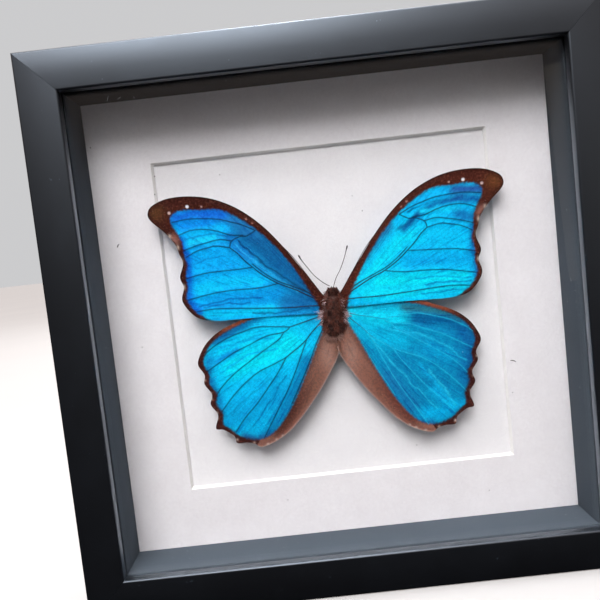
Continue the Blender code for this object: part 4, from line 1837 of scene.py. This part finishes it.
@dataclass
class Specimen:
    """The butterfly's body, its hair and its feelers, in millimetres and degrees."""

    finishes: Finishes
    root: Vector
    front: float
    depth: float = 23.0
    lean: float = 4.5
    squash: float = 1.05
    neck: float = 6.2
    body_hairs: int = 5200
    tail_hairs: int = 1500
    tuft_plan: tuple[Tuft, ...] = (
        Tuft("shoulder_hair", 3.0, 5.6, 1.2, 420, 2.4, (0.75, 0.0, -0.5)),
        Tuft("shoulder_hair", 4.0, 1.6, 1.6, 380, 2.6, (0.9, 0.1, -0.4)),
        Tuft("shoulder_hair", 4.0, -3.4, 1.8, 300, 2.4, (0.7, 0.2, -0.7)),
        Tuft("wing_root_tufts", 4.4, -0.9, 0.8, 90, 3.0, (0.95, -0.1, -0.25)),
        Tuft("wing_root_tufts", 4.4, -3.2, 0.7, 50, 2.6, (0.8, -0.1, -0.6)),
        Tuft("wing_root_tufts", 3.6, 3.6, 0.9, 40, 2.2, (0.8, -0.2, -0.6)),
    )
    profile: tuple[Point, ...] = (
        (0.0, -12.4), (1.3, -11.7), (2.8, -10.2), (3.9, -8.2), (4.5, -5.0), (4.6, 0.0), (4.0, 3.2),
        (2.9, 5.4), (2.1, 6.6), (2.2, 7.6), (2.2, 9.0), (1.5, 10.2), (0.0, 10.6),
    )
    feelers: tuple[tuple[Point, ...], ...] = (
        ((-0.4, 11.0), (-3.2, 13.0), (-6.4, 16.2), (-9.0, 20.0), (-11.2, 23.4), (-12.2, 25.6)),
        ((1.4, 11.0), (2.6, 14.0), (4.8, 17.6), (6.8, 21.8), (8.2, 25.6), (8.8, 27.4)),
    )
    eye: float = 1.25

    def __post_init__(self) -> None:
        """Work out the frame in which the body stands upright."""
        self.stand = (Matrix.Translation((self.root.x, self.front + self.depth * MM, self.root.z))
                      @ Matrix.Rotation(math.radians(self.lean), 4, "Y"))

    def place(self, points: np.ndarray) -> np.ndarray:
        """Carry points in millimetres, x, y and height on the body, to the specimen."""
        turn = np.array(self.stand)
        return points * MM @ turn[:3, :3].T + turn[:3, 3]

    def radius(self, height: np.ndarray) -> np.ndarray:
        """Half width of the body at a height, in millimetres."""
        profile = np.array(self.profile)
        return np.interp(height, profile[:, 1], profile[:, 0])

    def trunk(self) -> bpy.types.Object:
        """Model thorax and head as rings drawn up along the profile.

        Returns:
            The trunk.
        """
        clean_slate()
        first, *rest = self.profile[1:-1]
        bpy.ops.mesh.primitive_circle_add(vertices=28, radius=first[0] * MM, fill_type="NGON",
                                          location=(0, 0, first[1] * MM))
        piece = named("trunk")
        settle(piece)
        with Editing(piece) as edit:
            edit.all()
            width, height = first
            for wide, high in rest:
                edit.extrude((0, 0, (high - height) * MM))
                edit.resize((wide / width,) * 2 + (1,), (0, 0, high * MM))
                width, height = wide, high
            edit.recalculate()
            edit.all()
            edit.resize((1, self.squash, 1), (0, 0, 0))
        apply_modifier(piece, "SUBSURF", levels=2, render_levels=2)
        piece.data.transform(self.stand)
        dress(piece, self.finishes.skin)
        soften(piece, 60)
        return piece

    def ball(self, name: str, centre: Point, radii: Sequence[float], depth: float,
             narrow: float) -> bpy.types.Object:
        """Model an oval ball on the body whose upper end is narrowed.

        Args:
            name: The piece's name.
            centre: Its x and height on the body, in millimetres.
            radii: Half its width, depth and height.
            depth: How far it stands behind the body's middle.
            narrow: Width of its upper end as a share.

        Returns:
            The ball.
        """
        clean_slate()
        bpy.ops.mesh.primitive_uv_sphere_add(segments=24, ring_count=16, radius=1.0)
        piece = named(name)
        piece.scale = [r * MM for r in radii]
        piece.location = (centre[0] * MM, depth * MM, centre[1] * MM)
        settle(piece)
        top = (centre[1] + 0.35 * radii[2]) * MM
        with Editing(piece) as edit:
            edit.faces(lambda middle, normal: middle.z > top)
            edit.resize((narrow, narrow, 1.0), (centre[0] * MM, depth * MM, top))
        piece.data.transform(self.stand)
        soften(piece, 60)
        return piece

    def head(self) -> None:
        """Model the eyes and the two palps between them."""
        round_eye = (self.eye, self.eye, self.eye * 1.12)
        for name, (out, up), radii, depth, narrow, finish in (
            ("eye", (1.75, 8.3), round_eye, -0.3, 0.8, self.finishes.eye),
            ("palp", (0.5, 10.0), (0.42, 0.5, 1.0), -0.4, 0.45, self.finishes.skin),
        ):
            pair = join([self.ball(f"{name}_{side}", (side * out, up), radii, depth, narrow)
                         for side in (-1, 1)], f"{name}s")
            dress(pair, finish)
            hand_over(pair, "insect_body")

    def hairs(self, name: str, roots: np.ndarray, tips: np.ndarray, width: float, tone: np.ndarray,
              finish: bpy.types.Material) -> None:
        """Model hairs as slender three-sided blades with a bend in the middle.

        Args:
            name: The piece's name.
            roots: Roots on the body, in its millimetres.
            tips: Tips of the same hairs.
            width: Thickness at the root in millimetres.
            tone: Share of light colour of each hair.
            finish: Material of the hairs.
        """
        rng = np.random.default_rng(len(roots))
        run = tips - roots
        length = np.linalg.norm(run, axis=1, keepdims=True)
        along = run / length
        first = np.cross(along, rng.normal(size=along.shape))
        first /= np.linalg.norm(first, axis=1, keepdims=True)
        second = np.cross(along, first)
        middle = roots + run * 0.55 + first * length * rng.uniform(-0.14, 0.14, (len(roots), 1))
        rings = []
        for centre, wide in ((roots, width), (middle, width * 0.8)):
            for turn in (0, 2 * math.pi / 3, 4 * math.pi / 3):
                rings.append(centre + (first * math.cos(turn) + second * math.sin(turn)) * wide / 2)
        blade = np.stack([*rings, tips], axis=1)
        corners = blade.shape[1]
        pattern = []
        for k in range(3):
            n = (k + 1) % 3
            pattern += [(k, n, 3 + n), (k, 3 + n, 3 + k), (3 + k, 3 + n, corners - 1)]
        pattern.append((0, 2, 1))
        faces = (np.arange(len(roots))[:, None, None] * corners + np.array(pattern)[None]).reshape(-1, 3)
        piece = mesh_piece(name, self.place(blade.reshape(-1, 3)), faces)
        made = piece.data.attributes.new(name="tone", type="FLOAT", domain="POINT")
        made.data.foreach_set("value", np.repeat(tone, corners).astype(np.float32))
        dress(piece, finish)
        hand_over(piece, "insect_body")

    def coat(self) -> None:
        """Cover the body in hair, and add the tufts at the wing roots and the hair below the thorax."""
        rng = np.random.default_rng(7)
        count = self.body_hairs
        height = rng.uniform(-11.6, 10.0, count)
        turn = rng.uniform(0, 2 * math.pi, count)
        wide = self.radius(height)
        normal = np.stack([np.cos(turn), np.sin(turn) * self.squash, np.zeros(count)], axis=1)
        roots = np.column_stack([normal[:, 0] * wide, normal[:, 1] * wide, height])
        head = height > self.neck
        lay = np.where(head, 0.9, -0.7) + np.where(height < -6, -0.6, 0.0)
        way = normal * 0.7 + np.column_stack([np.zeros(count), np.zeros(count), lay])
        way += rng.normal(scale=0.55, size=way.shape)
        way /= np.linalg.norm(way, axis=1, keepdims=True)
        length = np.where(head | (height < -8), rng.uniform(0.3, 0.9, count), rng.uniform(1.0, 2.4, count))
        clump = waves(np.column_stack([turn * 4.0, height * 1.3]), 3.4, 3)
        tone = np.clip(0.30 + 0.55 * clump + rng.normal(0, 0.16, count), 0, 1) * np.where(head, 0.7, 1.0)
        self.hairs("body_hair", roots, roots + way * length[:, None], 0.24, tone, self.finishes.fur)
        self.tufts(rng)
        self.tail(rng)

    def tufts(self, rng: np.random.Generator) -> None:
        """Model the dark shoulder hair and the pale tufts at the wing roots.

        Args:
            rng: The coat's random numbers.
        """
        groups = {"shoulder_hair": [], "wing_root_tufts": []}
        for side in (-1, 1):
            for tuft in self.tuft_plan:
                size = tuft.count
                roots = np.column_stack([side * (tuft.out - 0.6 + rng.normal(scale=0.25, size=size)),
                                         rng.uniform(-2.6, -1.7, size),
                                         tuft.up + rng.normal(scale=tuft.spread, size=size)])
                way = np.array(tuft.course) * (side, 1, 1)
                way = way + rng.normal(scale=0.28, size=(size, 3)) * (1, 0.3, 1)
                length = tuft.reach * rng.uniform(0.5, 1.1, (size, 1))
                groups[tuft.name].append((roots, roots + way * length))
        for (name, made), width, middle, finish in zip(groups.items(), (0.22, 0.17), (0.35, 0.7),
                                                       (self.finishes.fur, self.finishes.pale_fur)):
            roots, tips = (np.concatenate(part) for part in zip(*made))
            self.hairs(name, roots, tips, width, np.clip(rng.normal(middle, 0.25, len(roots)), 0, 1), finish)

    def tail(self, rng: np.random.Generator) -> None:
        """Model the tan hair that hangs below the thorax.

        Args:
            rng: The coat's random numbers.
        """
        count = self.tail_hairs
        roots = np.column_stack([rng.normal(scale=2.0, size=count), rng.uniform(-2.6, 0.5, count),
                                 rng.uniform(-11.2, -8.8, count)])
        reach = 0.9 * self.radius(roots[:, 2])
        roots[:, 0] = np.clip(roots[:, 0], -reach, reach)
        way = np.column_stack([roots[:, 0] * 0.22, np.full(count, -0.1), np.full(count, -1.0)])
        way += rng.normal(scale=0.16, size=way.shape)
        tips = roots + way * rng.uniform(0.6, 2.4, (count, 1))
        tone = np.clip(rng.normal(0.45, 0.25, count), 0, 1)
        self.hairs("tail_hair", roots, tips, 0.15, tone, self.finishes.tan_fur)

    def antennae(self) -> None:
        """Model the feelers: thin stems that thicken to a slender club."""
        for points, side in zip(self.feelers, Side):
            chain = curve_through(points, 8)
            share = np.linspace(0, 1, len(chain))
            level = (self.depth - 1.2 - 1.5 * share) * MM
            places = np.column_stack([self.root.x + chain[:, 0] * MM, self.front + level,
                                      self.root.z + chain[:, 1] * MM])
            radii = (0.16 + 0.16 * ease(0.72, 0.9, share) - 0.08 * ease(0.95, 1.0, share)) * MM
            piece = tube(f"feeler_{side.name.lower()}", places, radii, 8)
            dress(piece, self.finishes.feeler)
            hand_over(piece, "insect_body", f"antenna_{side.name.lower()}")

    def build(self) -> None:
        """Build the body, the head, the hair and the feelers."""
        hand_over(self.trunk(), "insect_body", "butterfly_body")
        self.head()
        self.coat()
        self.antennae()


# ---------------------------------------------------------------- studio


@dataclass(frozen=True)
class Lamp:
    """An area light."""

    name: str
    place: tuple[float, float, float]
    aim: tuple[float, float, float]
    size: tuple[float, float]
    power: float
    colour: Colour = (1.0, 1.0, 1.0)


@dataclass
class Studio:
    """Floor, surroundings, lights and camera. The surroundings light the scene more from higher up."""

    front: float
    floor_size: float = 60.0
    floor_dark: Colour = (0.50, 0.50, 0.51)
    floor_pale: Colour = (0.55, 0.55, 0.55)
    sky_heights: tuple[float, float] = (0.12, 0.55)
    sky_strengths: tuple[float, float] = (0.012, 0.75)
    sky_colour: Colour = (1.0, 0.84, 0.77)
    backdrop: Colour = (0.60, 0.60, 0.61)
    sun_power: float = 2.2
    sun_degrees: float = 4.0
    lens: float = 38.4
    eye: tuple[float, float, float] = (-0.01264, -0.25212, 0.14199)
    right: tuple[float, float, float] = (0.9940, -0.0006, -0.1098)
    up: tuple[float, float, float] = (0.1096, 0.0753, 0.9911)
    lamps: tuple[Lamp, ...] = (
        Lamp("key", (-0.27, -1.31, 1.46), (0.0, 0.0, 0.115), (0.95, 0.92), 28.5, (1.0, 0.985, 0.985)),
        Lamp("fill", (0.9, -1.0, 0.25), (0.0, 0.0, 0.1), (0.8, 0.5), 0.35, (1.0, 0.90, 0.80)),
        Lamp("above", (0.0, 0.3, 1.9), (0.0, 0.0, 0.0), (1.2, 1.2), 8.0),
        Lamp("behind", (0.3, 1.5, 0.9), (0.0, 0.0, 0.1), (1.2, 1.0), 9.0),
    )

    def floor(self) -> None:
        """Lay a pale floor, which the glass doesn't mirror."""
        clean_slate()
        bpy.ops.mesh.primitive_plane_add(size=self.floor_size)
        floor = named("floor")
        sheet = Sheet("pale floor")
        cloud = sheet.noise(sheet.place(), 3.0, 3)
        sheet.colour(sheet.mix(cloud, self.floor_dark, self.floor_pale))
        sheet.fixed(Roughness=0.9)
        dress(floor, sheet.material)
        floor.visible_glossy = False
        floor.visible_diffuse = False
        floor.visible_transmission = False

    def surroundings(self) -> None:
        """Surround the scene with a warm light from above, which the camera sees as plain grey."""
        world = bpy.data.worlds.new("studio")
        bpy.context.scene.world = world
        world.use_nodes = True
        tree = world.node_tree
        tree.nodes.clear()
        out, mix, rays, way, parts, fade, dim, pale = (tree.nodes.new("ShaderNode" + kind) for kind in (
            "OutputWorld", "MixShader", "LightPath", "TexCoord", "SeparateXYZ", "MapRange", "Background",
            "Background"))
        for index, number in enumerate((*self.sky_heights, *self.sky_strengths), start=1):
            fade.inputs[index].default_value = number
        dim.inputs["Color"].default_value = (*self.sky_colour, 1.0)
        pale.inputs["Color"].default_value = (*self.backdrop, 1.0)
        for source, into in (
            (way.outputs["Generated"], parts.inputs[0]), (parts.outputs["Z"], fade.inputs[0]),
            (fade.outputs[0], dim.inputs["Strength"]), (rays.outputs["Is Camera Ray"], mix.inputs[0]),
            (dim.outputs[0], mix.inputs[1]), (pale.outputs[0], mix.inputs[2]),
            (mix.outputs[0], out.inputs["Surface"]),
        ):
            tree.links.new(source, into)

    def light(self) -> None:
        """Hang the lamps, each facing its aim."""
        for lamp in self.lamps:
            data = bpy.data.lights.new(lamp.name, "AREA")
            data.shape = "RECTANGLE"
            data.size, data.size_y = lamp.size
            data.energy = lamp.power
            data.color = lamp.colour
            made = bpy.data.objects.new(lamp.name, data)
            made.location = lamp.place
            way = Vector(lamp.aim) - Vector(lamp.place)
            made.rotation_euler = way.to_track_quat("-Z", "Y").to_euler()
            bpy.context.collection.objects.link(made)
        sun = bpy.data.lights.new("overhead", "SUN")
        sun.energy, sun.angle = self.sun_power, math.radians(self.sun_degrees)
        bpy.context.collection.objects.link(bpy.data.objects.new("overhead", sun))

    def camera(self) -> None:
        """Set the camera in front of the glass, turned a little clockwise."""
        data = bpy.data.cameras.new("camera")
        data.lens, data.sensor_width = self.lens, 36.0
        data.clip_start = 0.01
        made = bpy.data.objects.new("camera", data)
        right = Vector(self.right).normalized()
        back = right.cross(Vector(self.up)).normalized()
        up = back.cross(right)
        turn = Matrix((right, up, back)).transposed().to_4x4()
        made.matrix_world = Matrix.Translation((self.eye[0], self.front + self.eye[1], self.eye[2])) @ turn
        bpy.context.collection.objects.link(made)
        bpy.context.scene.camera = made
        bpy.context.scene.view_settings.view_transform = "Standard"

    def build(self) -> None:
        """Set up everything round the object."""
        self.floor()
        self.surroundings()
        self.light()
        self.camera()


def main() -> None:
    """Build the looks around the solids, in order."""
    logging.basicConfig(level=logging.INFO, format="%(message)s")
    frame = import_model()
    finishes = Finishes()
    low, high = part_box("frame_rail_top")
    outer, front = high[2], low[1]
    BoxFrame(finishes, outer, front, high[1]).build()
    Sheets(finishes, frame).build()
    root = Vector(THORAX)
    for plan in (HINDWING, FOREWING):
        for side in Side:
            Wing(plan, side, finishes, root, front).build()
    Specimen(finishes, root, front).build()
    Studio(front).build()


if __name__ == "__main__":
    main()
